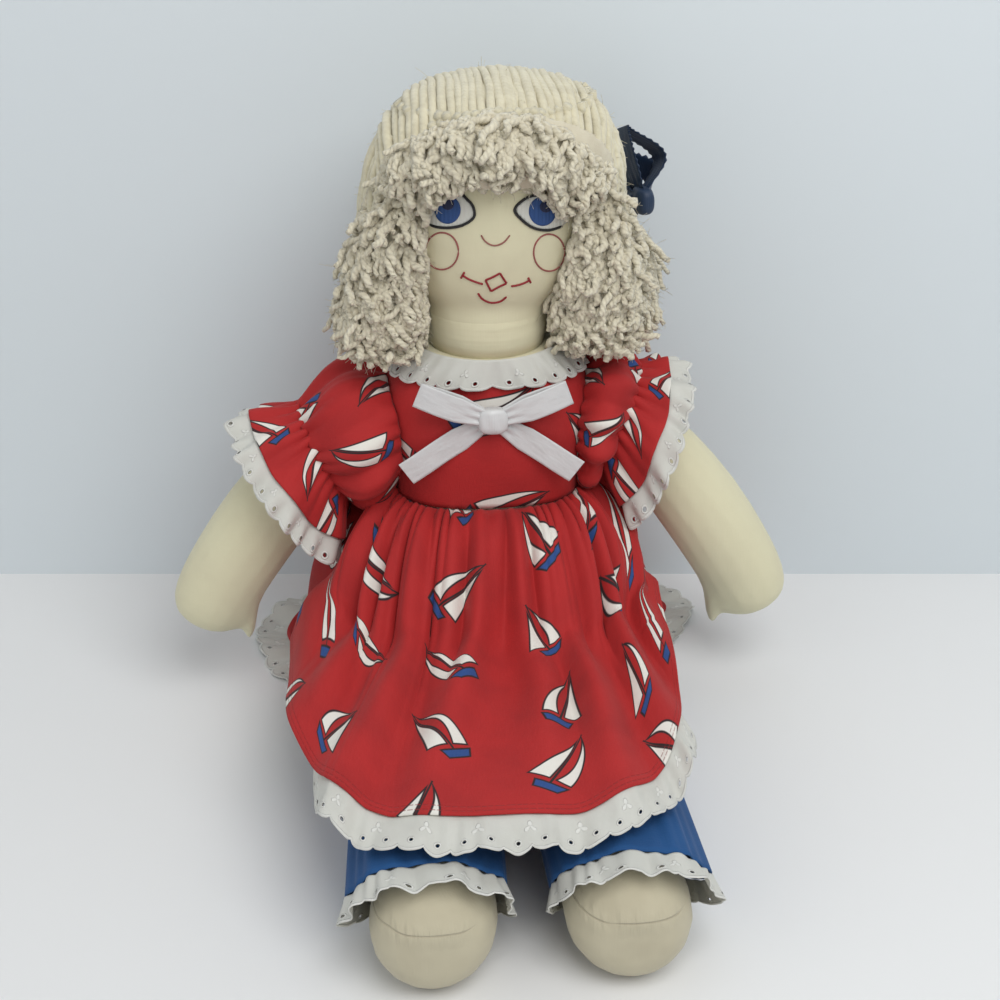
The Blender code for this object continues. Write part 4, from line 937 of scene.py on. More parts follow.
@dataclass(frozen=True)
class ArmLine:
    """The bowed middle line of an arm, drawn on the doll's left."""

    side: Side
    length: float = 0.180
    radius: float = 0.026
    forward: float = 0.012
    fold_gap: float = 0.00045
    steps: int = 48

    @property
    def hinge(self) -> tuple[float, float, float]:
        """The fold at the top of the stuffed arm."""
        return (0.07395, -0.0009, 0.19381) if self.side is Side.LEFT else (0.07442, -0.0009, 0.19434)

    @property
    def slope(self) -> float:
        """The slope at the top."""
        return math.radians(43 if self.side is Side.LEFT else 40)

    @property
    def hand_slope(self) -> float:
        """The slope at the hand."""
        return math.radians(66 if self.side is Side.LEFT else 64)

    def way(self, share: float) -> Vector:
        """The way that the arm points."""
        slope = self.slope + (self.hand_slope - self.slope) * share
        return Vector((math.cos(slope), -self.forward / self.length, -math.sin(slope))).normalized()

    def table(self) -> np.ndarray:
        """Places at even shares from 0 to 1."""
        place = Vector(self.hinge) + self.way(0.0) * self.fold_gap
        places = [tuple(place)]
        for step in range(self.steps):
            place = place + self.way((step + 0.5) / self.steps) * (self.length / self.steps)
            places.append(tuple(place))
        return np.array(places)

    def place(self, share: np.ndarray) -> np.ndarray:
        """Places on the line."""
        table = self.table()
        marks = np.linspace(0, 1, len(table))
        return np.stack([np.interp(share, marks, table[:, part]) for part in range(3)], axis=1)


@dataclass(frozen=True)
class SkirtForm:
    """The gathered skirt that spreads over the lap."""

    trunk: Trunk = Trunk()
    half_width: float = 0.160
    front_half_width: float = 0.112
    narrowing: float = 0.080
    spread_start: float = 0.075
    drift: float = 0.012
    front: float = 0.262
    back: float = 0.112
    power: float = 3.0
    side_fall: float = 0.062
    front_fall: float = 0.094
    fullness_start: float = 0.060
    shoulder: float = 0.0040
    hem_lift: float = 0.0026
    hold_share: float = 0.62
    lap_clearance: float = 0.0075
    lap_rise: float = 0.006
    lap_edge: float = 0.046
    fold: float = 0.0042
    folds: int = 11
    foot_offset: float = 0.051
    pants_half_width: float = 0.0395
    pants_half_height: float = 0.0320
    belly_half_depth: float = 0.047
    lace_droop: float = 0.004
    softness: float = 0.022
    soft_height: float = 0.03
    right_turn: float = 0.232
    left_turn: float = 0.190
    back_turn: float = 0.012
    turn_length: float = 0.045
    shoulder_share: float = 0.20

    def top(self) -> float:
        """The level of the gathered edge."""
        return self.trunk.waist - FIT - 1.25 * CLOTH

    def waist_ring(self, turn: np.ndarray) -> np.ndarray:
        """The gathered edge."""
        height = np.full_like(turn, self.trunk.waist)
        return self.trunk.ring(turn, height, EASE, np.full_like(turn, self.top()))

    def hem(self, turn: np.ndarray) -> np.ndarray:
        """The hem in plan."""
        middle, half_depth = (self.back - self.front) / 2, (self.back + self.front) / 2
        x, y = squared(turn, self.half_width, half_depth, self.power)
        y = middle + y
        narrowing = eased((self.spread_start - y) / self.narrowing)
        x = x * (1 + (self.front_half_width / self.half_width - 1) * narrowing) - self.drift * narrowing
        return np.stack([x, y, np.zeros_like(x)], axis=1)

    def height(self, place: np.ndarray, turn: np.ndarray) -> np.ndarray:
        """The height of the draped cloth over places in plan."""
        waist = self.waist_ring(turn)
        fullness = eased(-place[:, 1] / self.fullness_start)
        reach = self.side_fall + (self.front_fall - self.side_fall) * fullness
        fall = np.linalg.norm(place[:, :2] - waist[:, :2], axis=1) / reach
        hung = self.top() * np.maximum(1 - fall * fall, 0.0)
        ahead = np.maximum(-place[:, 1] / self.front, 0.0)
        pants_top = self.hem_lift + 2 * (self.pants_half_height + CLOTH)
        lap = pants_top + self.lap_clearance + self.lap_rise * (1 - ahead)
        outer = np.abs(place[:, 0]) - self.foot_offset - self.pants_half_width + EASE
        edge = np.maximum(outer, 0.0) / self.lap_edge
        hold = self.hold_share * eased((-place[:, 1] - self.fullness_start) / self.narrowing)
        drop = np.sqrt(np.maximum(1 - edge * edge, 0.0))
        laid = lap * (hold + (1 - hold) * drop) * eased(-place[:, 1] / self.belly_half_depth)
        blend = self.softness**2 * eased(laid / self.soft_height)
        soft = (hung + laid + np.sqrt((hung - laid) ** 2 + blend)) / 2
        return np.minimum(np.maximum(soft, self.hem_lift), self.top())

    def turned_in(self, turn: np.ndarray) -> np.ndarray:
        """How far the hem lace is turned in under the skirt, beside the lap."""
        hem = self.hem(turn)
        start = np.where(hem[:, 0] < 0, self.right_turn, self.left_turn)
        front, back = hem[:, 1] + start, self.back_turn - hem[:, 1]
        return eased(front / self.turn_length) * eased(back / self.turn_length)

    def spaced(self, u: np.ndarray, share: float = 1.0) -> np.ndarray:
        """Turns that are evenly spaced along the cloth at one height, for shares of the way round."""
        turn = np.linspace(0, 1, 721)
        run = run_along(self.point(turn, np.full_like(turn, share)), 0)
        return np.interp(u % 1.0, run / run[-1], turn)

    def point(self, turn: np.ndarray, share: np.ndarray, beyond: float | np.ndarray = 0.0) -> np.ndarray:
        """Places on the smooth skirt, and beyond its hem."""
        waist = self.waist_ring(turn)
        hem = self.hem(turn)
        hem[:, 2] = waist[:, 2]
        out = unit(hem - waist)
        place = waist + (hem - waist) * share[:, None] + out * np.reshape(beyond, (-1, 1))
        shoulder = self.top() - self.shoulder * eased(share / self.shoulder_share)
        place[:, 2] = np.where(share > 0, np.minimum(self.height(place, turn), shoulder), waist[:, 2])
        return place

    def normal(self, turn: np.ndarray, share: np.ndarray, beyond: float | np.ndarray = 0.0) -> np.ndarray:
        """Ways straight out of the smooth skirt."""
        reach = EASE / self.front
        around = self.point(turn + reach, share, beyond) - self.point(turn - reach, share, beyond)
        outward = self.point(turn, share, beyond + EASE) - self.point(turn, share, beyond - EASE)
        return unit(np.cross(outward, around))


@dataclass(frozen=True)
class SleeveForm:
    """The puffed sleeve and its flare on one side, drawn on the doll's left."""

    side: Side
    trunk: Trunk = Trunk()
    armhole_height: float = 0.184
    armhole_half_height: float = 0.032
    armhole_half_depth: float = 0.030
    puff: float = 0.013
    flare_reach: float = 0.026
    flare_radius: float = 0.046
    lace_tuck: float = 0.004
    lace_depth: float = 0.019

    @property
    def arm(self) -> ArmLine:
        """The arm inside the sleeve."""
        return ArmLine(self.side)

    @property
    def reach(self) -> float:
        """The elastic's place along the arm."""
        return 0.03 if self.side is Side.LEFT else 0.19

    @property
    def tilts(self) -> tuple[float, float]:
        """The slopes at the elastic and at the red edge."""
        first, last = (30, 20) if self.side is Side.LEFT else (28, 34)
        return math.radians(first), math.radians(last)

    @property
    def elastic_radius(self) -> float:
        """The elastic's radius."""
        return self.arm.radius + 2 * EASE

    def armhole(self, turn: np.ndarray) -> np.ndarray:
        """The edge sewn to the bodice."""
        z = self.armhole_height + self.armhole_half_height * np.cos(math.tau * turn)
        y = self.armhole_half_depth * np.sin(math.tau * turn)
        return np.stack([self.trunk.side(y, z, EASE + CLOTH) + 2 * FIT, y, z], axis=1)

    def ring(self, turn: np.ndarray, share: np.ndarray, radius: np.ndarray) -> np.ndarray:
        """Rings of the flare, from the elastic at 0 to the red edge at 1 and beyond."""
        first, last = self.tilts
        slope = first + (last - first) * np.minimum(share, 1.0)
        zero = np.zeros_like(slope)
        across = np.stack([np.sin(slope), zero, np.cos(slope)], axis=1)
        through = np.array([0.0, 1.0, 0.0])
        centre = self.arm.place(self.reach + share * self.flare_reach / self.arm.length)
        away = across * np.cos(math.tau * turn)[:, None] + through * np.sin(math.tau * turn)[:, None]
        return centre + away * radius[:, None]

    def centre(self, share: float) -> tuple[float, float, float]:
        """The middle of a ring, on its own side of the doll."""
        x, y, z = self.arm.place(np.array([self.reach + share * self.flare_reach / self.arm.length]))[0]
        return x * self.side.sign, y, z

    def puffed(self, u: np.ndarray, v: np.ndarray) -> np.ndarray:
        """Places on the puff."""
        start = self.armhole(u)
        end = self.ring(u, np.zeros_like(u), np.full_like(u, self.elastic_radius))
        turn = np.linspace(0, 1, 21)[:-1]
        near = self.armhole(turn).mean(axis=0)
        far = self.ring(turn, np.zeros_like(turn), np.full_like(turn, self.elastic_radius)).mean(axis=0)
        point = start + (end - start) * v[:, None]
        away = point - (near + far) / 2
        away[:, 0] = 0
        return point + unit(away) * (self.puff * np.sin(math.pi * v))[:, None]

    def flared(self, u: np.ndarray, v: np.ndarray) -> np.ndarray:
        """Places on the red flare."""
        gap = 2 * FIT / self.flare_reach
        inner = self.elastic_radius
        return self.ring(u, gap + v * (1 - gap), inner + (self.flare_radius - inner) * v)

    def laced(self, u: np.ndarray, v: np.ndarray) -> np.ndarray:
        """Places on the lace of the flare."""
        share = 1 + (v * self.lace_depth - self.lace_tuck) / self.flare_reach
        slope = self.flare_radius - self.elastic_radius
        radius = self.flare_radius + np.minimum(share - 1, 0) * slope + np.maximum(share - 1, 0) * slope / 2
        return self.ring(u, share, radius - CLOTH)


@dataclass(frozen=True)
class PantsForm:
    """One leg of the pants on the doll's left."""

    trunk: Trunk = Trunk()
    seam_offset: float = 0.040
    foot_offset: float = 0.051
    half_width: float = 0.0395
    half_height: float = 0.0320
    front: float = 0.280
    slant: float = 0.064
    power: float = 2.3
    hem_lift: float = 0.0026
    start: float = 0.047
    seam: float = 0.044
    seam_bottom: float = 0.0019
    flat_start: float = 0.06
    settling: float = 0.20
    lace_depth: float = 0.019

    def ring(self, turn: np.ndarray, distance: np.ndarray) -> np.ndarray:
        """Rings at distances in front of the trunk's middle."""
        share = np.minimum(distance / self.front, 1.0)
        across = self.seam_offset + EASE + (self.foot_offset - self.seam_offset) * share
        slant = self.slant * eased((distance - self.start) / (self.front - self.start))
        x, z = squared(turn, self.half_width, self.half_height, self.power)
        rise = 0.5 + 0.5 * z / self.half_height
        middle = self.hem_lift + CLOTH + self.half_height
        return np.stack([across + x, slant * (1 - rise) ** 2 - distance, middle + z], axis=1)

    def leg(self, u: np.ndarray, v: np.ndarray) -> np.ndarray:
        """Places on the blue leg. It starts on the trunk's curved front."""
        first = self.ring(u, np.full_like(u, self.seam))
        reach = self.trunk.front(first[:, 0], first[:, 2], EASE + CLOTH)
        reach = np.where(first[:, 2] > self.seam_bottom, reach, 0.0)
        first[:, 1] = -np.maximum(reach, self.seam * 0.7) - 3 * FIT
        run = np.maximum(v - self.flat_start, 0.0) / (1 - self.flat_start)
        later = self.ring(u, self.start + (self.front - self.start) * run)
        share = eased(v / self.settling)[:, None]
        return first * (1 - share) + later * share

    def lace(self, u: np.ndarray, v: np.ndarray) -> np.ndarray:
        """Places on the ankle lace."""
        return self.ring(u, self.front + 2 * FIT + v * self.lace_depth)


@dataclass(frozen=True)
class Camera:
    """The photograph's camera."""

    lens: float = 57.6
    sensor: float = 36.0
    focus: float = 1600.0
    middle: float = 500.0
    place: tuple = (0.0084, -0.907, 0.589)
    forward: tuple = (0.0, 0.891, -0.454)
    yaw: float = math.radians(-5)

    def matrix(self) -> Matrix:
        """The camera's place and turn."""
        turn = Matrix.Rotation(self.yaw, 4, "Z")
        look = Vector(self.forward).to_track_quat("-Z", "Y").to_matrix().to_4x4()
        return turn @ Matrix.Translation(self.place) @ look

    def build(self) -> None:
        """Adds the camera."""
        data = bpy.data.cameras.new("camera")
        data.lens = self.lens
        data.sensor_width = self.sensor
        camera = bpy.data.objects.new("camera", data)
        camera.matrix_world = self.matrix()
        bpy.context.scene.collection.objects.link(camera)
        bpy.context.scene.camera = camera

    def pixels(self, places: np.ndarray) -> np.ndarray:
        """The photograph's pixels of places, as their last part."""
        matrix = np.array(self.matrix().inverted())
        seen = places @ matrix[:3, :3].T + matrix[:3, 3]
        flat = seen[..., :2] / -seen[..., 2:] * self.focus
        return np.stack([self.middle + flat[..., 0], self.middle - flat[..., 1]], axis=-1)

    def ray(self, pixel: tuple[float, float]) -> tuple[Vector, Vector]:
        """The start and the way of the ray through a pixel of the photograph."""
        matrix = self.matrix()
        x, y = (pixel[0] - self.middle) / self.focus, (self.middle - pixel[1]) / self.focus
        return matrix.translation, (matrix.to_3x3() @ Vector((x, y, -1.0))).normalized()


# Sub-assemblies


@dataclass
class Stuffing:
    """The stuffed muslin pieces: trunk, neck, head, gathers, arms and legs."""

    fine: float = 0.0022
    small: float = 0.0008
    neck_radius: float = 0.0366
    chin_length: float = 0.034
    chin_height: float = 0.264
    chin_tuck: float = 0.004
    chin_slope: float = 0.16
    head: bpy.types.Object | None = None

    def build(self) -> None:
        """Makes every stuffed piece."""
        muslin = Muslin().build()
        neck_muslin = Muslin("neck_muslin", creases=0.9).build()
        self.head = self.stuff("head", self.fine, 22, muslin, Body.HEAD.value, self.chin())
        self.sink_chin()
        self.stuff("torso", self.fine * 1.4, 6, muslin, Body.TRUNK.value)
        self.stuff("neck", self.fine * 0.8, 3, neck_muslin, Body.NECK.value)
        for side in Side:
            self.stuff(f"arm_{side.value}", self.fine * 0.8, 12, muslin, Body.limb("arm", side))
            self.stuff(f"arm_gather_{side.value}", self.small, 2, muslin, Body.limb("shoulder", side))
            # each foot's muslin is darkened as painted shade
            foot = ShadedFootMuslin(f"shaded_foot_muslin_{side.value}").build()
            self.stuff(f"leg_{side.value}", self.fine * 0.8, 10, foot, Body.limb("leg", side))

    def chin(self) -> bpy.types.Object:
        """A round form that leads the skin of the head down round the neck."""
        bpy.ops.object.select_all(action="DESELECT")
        bpy.ops.mesh.primitive_cylinder_add(vertices=48, radius=self.neck_radius, depth=self.chin_length,
                                            location=(0, 0, self.chin_height))
        return bpy.context.object

    def sink_chin(self) -> None:
        """Draws the lower edge of the head's skin into the neck."""
        places = Bench.corners(self.head)
        sunk = np.maximum(self.chin_height - self.chin_tuck - places[:, 2], 0.0) * self.chin_slope
        radius = np.linalg.norm(places[:, :2], axis=1)
        places[:, :2] *= (1 - sunk / np.maximum(radius, 0.001))[:, None]
        Bench.move(self.head, places)

    def stuff(self, node: str, voxel: float, rounds: int, finish: bpy.types.Material, body: str,
              joined: bpy.types.Object | None = None) -> bpy.types.Object:
        """One stuffed piece in place of its solid."""
        piece = Bench.restuff(node, f"{node}_stuffed", voxel, rounds, 0.0003, joined)
        Bench.dress(piece, finish, body, "muslin", node)
        return piece


@dataclass
class Face:
    """The embroidered face, placed by the photograph on the stuffed head."""

    camera: Camera
    head: bpy.types.Object
    tree: BVHTree | None = None
    black: tuple = (
        ((429, 224), (438, 227), (451, 227.5), (464, 224.5), (474, 217), (473, 206), (466, 198), (461, 192)),
        ((562, 226), (548, 230), (534, 228), (522, 220), (514.5, 209), (528, 197), (545, 195)),
    )
    whites: tuple = (
        ((424, 210), (429, 223), (438, 226), (451, 226.5), (463, 223.5), (473, 216), (472, 206), (465, 198),
         (455, 193), (440, 192), (430, 198)),
        ((516, 209), (523, 219), (534, 227), (548, 229), (563, 225), (570, 213), (564, 200), (552, 195),
         (540, 195), (528, 198)),
    )
    irises: tuple = ((448, 209.5, 13.0, 14.0), (542, 211.0, 13.5, 14.5))
    pupils: tuple = ((448.5, 204.0, 6.0, 5.6), (545.0, 206.5, 6.0, 5.6))
    cheeks: tuple = ((442, 251, 16.5, 18.5), (549, 252.5, 15.5, 18.5))
    nose: tuple = ((481, 235), (485, 241), (491, 244.8), (497, 245.2), (504, 242), (510, 235))
    mouth: tuple = (
        ((462.5, 275), (468, 278.5), (475, 281.5), (483, 284)),
        ((461, 278), (464.5, 272)),
        ((511, 286), (517, 285), (523.5, 283), (529.5, 280)),
        ((528, 277.5), (530.5, 282.5)),
        ((478, 293), (481.5, 298), (487, 301.3), (493, 302.5), (500.5, 301), (506.5, 296.5)),
        ((485.5, 280), (493, 276.8), (500, 273)),
        ((500, 273), (503, 278), (506.5, 283)),
        ((506.5, 283), (499, 286.5), (491, 291)),
        ((491, 291), (488, 285), (485.5, 280)),
    )

    def build(self) -> None:
        """Sews the face."""
        self.tree = Bench.rays(self.head)
        white = Floss("white_floss", (0.72, 0.72, 0.66)).build()
        blue = Floss("blue_floss", (0.016, 0.072, 0.250)).build()
        navy = Floss("navy_floss", (0.006, 0.012, 0.060)).build()
        for side, outline, (x, y, half_width, half_height), (px, py, pw, ph) in zip(
            ("right", "left"), self.whites, self.irises, self.pupils
        ):
            self.patch(f"eye_white_{side}", self.smooth(outline, True), 0.00030, white)
            self.patch(f"iris_{side}", self.oval(x, y, half_width, half_height), 0.00060, blue)
            self.patch(f"pupil_{side}", self.oval(px, py, pw, ph), 0.00085, navy)
        self.sew("eye_outlines", [self.smooth(line) for line in self.black], 0.00080, 0.0005,
                 Floss("black_floss", (0.012, 0.012, 0.014)).build())
        rings = [self.oval(*cheek) + [self.oval(*cheek)[0]] for cheek in self.cheeks]
        self.sew("cheek_rings", rings, 0.00050, 0.00020, Floss("rose_floss", (0.36, 0.10, 0.09)).build())
        self.sew("nose_line", [self.smooth(self.nose)], 0.00046, 0.00020,
                 Floss("brown_floss", (0.34, 0.12, 0.10)).build())
        self.sew("mouth_lines", [self.smooth(line) for line in self.mouth], 0.00062, 0.00030,
                 Floss("red_floss", (0.30, 0.010, 0.018)).build())

    @staticmethod
    def oval(x: float, y: float, half_width: float, half_height: float) -> list[tuple[float, float]]:
        """Pixels round an oval."""
        turns = [math.tau * step / 40 for step in range(40)]
        return [(x + half_width * math.cos(turn), y + half_height * math.sin(turn)) for turn in turns]

    @staticmethod
    def smooth(line: Pixels, closed: bool = False) -> list[tuple[float, float]]:
        """A smooth run of pixels through a few."""
        marks = np.array(line, dtype=float)
        if closed:
            marks = np.vstack([marks[-2:], marks, marks[:2]])
        else:
            marks = np.vstack([2 * marks[0] - marks[1], marks, 2 * marks[-1] - marks[-2]])
        points: list[tuple[float, float]] = []
        for index in range(2 if closed else 1, len(marks) - 2):
            a, b, c, d = marks[index - 1 : index + 3]
            for share in np.linspace(0, 1, 6, endpoint=False):
                cubic = -a + 3 * b - 3 * c + d
                square = 2 * a - 5 * b + 4 * c - d
                points.append(tuple(0.5 * (2 * b + (c - a) * share + square * share**2 + cubic * share**3)))
        if not closed:
            points.append(tuple(marks[-2]))
        return points

    def touch(self, pixel: tuple[float, float], stand: float) -> Vector:
        """The place on the head behind a pixel, lifted off its surface."""
        start, way = self.camera.ray(pixel)
        place, normal, _, _ = self.tree.ray_cast(start, way)
        return place + normal * stand

    def sew(self, name: str, lines: Sequence[Pixels], radius: float, stand: float,
            floss: bpy.types.Material) -> None:
        """Lays thread along lines of pixels."""
        stations = 48
        paths = []
        for line in lines:
            touched = np.array([self.touch(pixel, stand) for pixel in line])
            marks = np.linspace(0, 1, len(touched))
            even = np.linspace(0, 1, stations)
            paths.append(np.stack([np.interp(even, marks, touched[:, part]) for part in range(3)], axis=1))
        radii = np.full((len(paths), stations), radius)
        radii[:, [0, -1]] *= 0.5
        piece = Bench.tubes(name, np.array(paths), radii, 7)
        Bench.dress(piece, floss, Body.HEAD.value, "muslin")

    def patch(self, name: str, outline: Pixels, stand: float, floss: bpy.types.Material) -> None:
        """Fills an outline with satin stitch."""
        ring = np.array(outline)
        middle = ring.mean(axis=0)

        def form(u: np.ndarray, v: np.ndarray) -> np.ndarray:
            """Places from the middle to the outline."""
            place = np.mod(u, 1.0) * len(ring)
            near = np.floor(place).astype(int) % len(ring)
            share = (place - np.floor(place))[:, None]
            edge = ring[near] * (1 - share) + ring[(near + 1) % len(ring)] * share
            pixels = middle + (edge - middle) * v[:, None]
            return np.array([self.touch(tuple(pixel), stand) for pixel in pixels])

        piece = Bench.lay(name, 40, 8, form, (0.02, 0.008))
        Bench.merge(piece, 0.00002)
        self.map_by_place(piece)
        Bench.thicken(piece, 0.0004, 0.0)
        Bench.dress(piece, floss, Body.HEAD.value, "muslin")

    @staticmethod
    def map_by_place(piece: bpy.types.Object) -> None:
        """Maps stitches that run up and down, and turns the patch to the front."""
        mesh = piece.data
        flat = Bench.corners(piece)[Bench.loops(mesh)][:, [2, 0]] * np.array([0.02, 1.0])
        Bench.map(mesh.uv_layers.active, flat)
        mesh.update()
        if sum(face.normal.y for face in mesh.polygons) > 0:
            Bench.edited(piece, bpy.ops.mesh.flip_normals)


@dataclass(frozen=True)
class Tuft:
    """How the curls of one tuft lie."""

    node: str
    count: int
    lowest: float
    length: tuple = (0.015, 0.027)
    lift: tuple = (0.0000, 0.0058)
    crimp: tuple = (0.0008, 0.0018)
    wave: tuple = (0.0085, 0.0130)
    stray: float = 0.36
    radius: float = 0.0023


@dataclass
class Hair:
    """The yarn hair: a cap of smooth strands, and curls for the fringe, the side locks and the tied tail."""

    camera: Camera
    seed: int = 7
    strand_radius: float = 0.0029
    strands: int = 33
    last_lean: float = 0.85
    part: float = 38.0
    side_turns: tuple = (-24.0, 82.0)
    side_strands: int = 20
    bottom: float = 0.2647
    top: float = 0.3963
    half_width: float = 0.070
    half_depth: float = 0.063
    window: tuple = (496.0, 289.0, 68.0, 96.0)
    cheek: tuple = (262.0, 45.0, 20.0, 22.0)
    arch: tuple = (490.0, 104.0, 125.0, 62.0)
    hairline: float = 42.0
    fuzz_radius: float = 0.00013
    loose_fibres: int = 3200
    rings: tuple = ((0.00, 0.84, 0.94), (0.10, 1.05, 1.08), (0.35, 1.10, 1.10), (0.60, 1.05, 1.08),
                    (0.80, 0.93, 0.97), (0.94, 0.66, 0.72), (1.00, 0.10, 0.12))
    tufts: tuple = (
        Tuft("hair_fringe", 800, 0.310),
        Tuft("hair_lock_left", 820, 0.234),
        Tuft("hair_lock_right", 820, 0.234),
        Tuft("hair_tail", 380, 0.222, (0.026, 0.044), (0.0005, 0.0050), (0.0004, 0.0012), (0.010, 0.016),
             0.18),
    )

    def build(self) -> None:
        """Makes all the hair."""
        rng = np.random.default_rng(self.seed)
        yarn = Yarn().build()
        # the last number is the painted shade in the grooves between the plies
        curl = Yarn("curled_yarn", (0.740, 0.690, 0.535), (0.540, 0.480, 0.350), 0.0034, 1.1, 0.50).build()
        self.make_cap(yarn)
        self.make_strands(rng, yarn)
        for tuft in self.tufts:
            self.make_curls(rng, tuft, curl)

    def make_cap(self, yarn: bpy.types.Material) -> None:
        """The base under the smooth strands."""
        piece = Bench.restuff("hair_crown", "hair_cap", 0.0022, 4, -0.0020)
        Bench.dress(piece, yarn, Body.HEAD.value, "yarn", "hair_crown")

    def full_cap(self) -> BVHTree:
        """A tree of the cap's whole round form, with its front."""
        rises, widths, depths = np.array(self.rings).T
        rise = np.linspace(0, 1, 40)
        turn = math.tau * np.arange(60) / 60
        height = self.bottom + rise * (self.top - self.bottom)
        width = np.interp(rise, rises, widths) * self.half_width
        depth = np.interp(rise, rises, depths) * self.half_depth
        x = 0.05 * (height[:, None] - 0.238) + width[:, None] * np.cos(turn)
        y = depth[:, None] * np.sin(turn)
        places = np.stack([x, y, np.broadcast_to(height[:, None], x.shape)], axis=-1).reshape(-1, 3)
        number = np.arange(len(places)).reshape(len(rise), len(turn))
        return BVHTree.FromPolygons(places.tolist(), ring_faces(number).tolist() + [number[-1].tolist()])

    def make_strands(self, rng: np.random.Generator, yarn: bpy.types.Material) -> None:
        """The strands that run side by side from the front over the top to the nape."""
        tree = self.full_cap()
        stations = 48
        middle = Vector((0.004, 0.004, 0.318))
        paths = []
        for lean in np.linspace(-self.last_lean, self.last_lean, self.strands):
            width = math.sqrt(1 - lean * lean)
            turns = np.linspace(math.radians(self.hairline), math.radians(232), stations)
            fan = lean * (1 + 0.05 * np.abs(np.cos(turns)))
            paths.append(self.laid_on(tree, middle, fan, -width * np.cos(turns), width * np.sin(turns)))
        falls = np.radians(np.linspace(self.part, -50, stations))
        sunk = 0.0026 * (1 - eased(np.linspace(0, 6, stations)))
        for side, turn in product((-1, 1), np.radians(np.linspace(*self.side_turns, self.side_strands))):
            across, back = side * np.cos(falls) * math.cos(turn), np.cos(falls) * math.sin(turn)
            paths.append(self.laid_on(tree, middle, across, back, np.sin(falls), sunk))
        paths = np.array(paths)
        for _ in range(5):
            paths[:, 1:-1] = (paths[:, :-2] + 2 * paths[:, 1:-1] + paths[:, 2:]) / 4
        wobble = np.cumsum(rng.normal(0, 0.00022, (len(paths), stations)), axis=1)
        paths[:, :, 0] += wobble - wobble.mean(axis=1, keepdims=True)
        lift = np.cumsum(rng.normal(0, 0.00010, (len(paths), stations)), axis=1)
        paths += unit(paths - np.array(middle)) * (lift - lift.mean(axis=1, keepdims=True))[:, :, None]
        radii = np.full(paths.shape[:2], self.strand_radius) * rng.uniform(0.86, 1.10, (len(paths), 1))
        piece = Bench.tubes("hair_strands", paths, radii, 8)
        Bench.dress(piece, yarn, Body.HEAD.value, "yarn")
        roots = paths[:, 4:-2].reshape(-1, 3)
        roots = roots[rng.integers(0, len(roots), 1500)] + rng.normal(0, 0.0012, (1500, 3))
        self.add_fuzz(rng, "hair_strands_fuzz", roots, unit(roots - np.array(middle)), yarn)

    @staticmethod
    def laid_on(tree: BVHTree, middle: Vector, x: np.ndarray, y: np.ndarray, z: np.ndarray,
                sunk: np.ndarray | None = None) -> list[tuple]:
        """A line of places where ways out of the middle leave the cap."""
        line = []
        for number, way in enumerate(map(Vector, zip(x, y, z))):
            way.normalize()
            hit = tree.ray_cast(middle + way * 0.2, -way)
            place = hit[0] if hit[0] is not None else middle + way * 0.07
            line.append(tuple(place - way * (0.0010 if sunk is None else 0.0010 + sunk[number])))
        return line

    def add_fuzz(self, rng: np.random.Generator, name: str, roots: np.ndarray, normals: np.ndarray,
                 yarn: bpy.types.Material) -> None:
        """Fine loose fibres that soften the yarn's outline."""
        share = np.linspace(0, 1, 4)
        length = rng.uniform(0.002, 0.0055, (len(roots), 1))
        way = unit(normals * 0.5 + rng.normal(0, 0.7, roots.shape) + np.array([0.0, 0.0, -0.45]))
        bend = rng.normal(0, 0.45, roots.shape)
        ways = way[:, None] + bend[:, None] * share[:, None]
        paths = roots[:, None] + ways * (length * share)[:, :, None]
        radii = np.full(paths.shape[:2], self.fuzz_radius)
        piece = Bench.tubes(name, paths, radii, 3)
        Bench.dress(piece, yarn, Body.HEAD.value, "yarn")

    def kept(self, tuft: Tuft, paths: np.ndarray) -> np.ndarray:
        """Which curls leave the face and the cap's strands free, seen as in the photograph."""
        x, y, half_width, half_height = self.window
        pixels = self.camera.pixels(paths)
        low, reach, beside, most = self.cheek
        drawn_in = eased((pixels[..., 1] - low) / reach) * eased((pixels[..., 0] - x) / beside) * most
        across = np.abs((pixels[..., 0] - x) / (half_width - drawn_in)) ** 4
        inside = across + np.abs((pixels[..., 1] - y) / half_height) ** 4 < 1
        clear = ~(inside & (paths[..., 1] < -0.01)).any(axis=1)
        middle, crest, reach, fall = self.arch
        over = pixels[..., 1] < crest + fall * ((pixels[..., 0] - middle) / reach) ** 2
        low = (paths[..., 2] < tuft.lowest).any(axis=1)
        return clear & ~low & ~(over & (paths[..., 1] < 0.02)).any(axis=1)

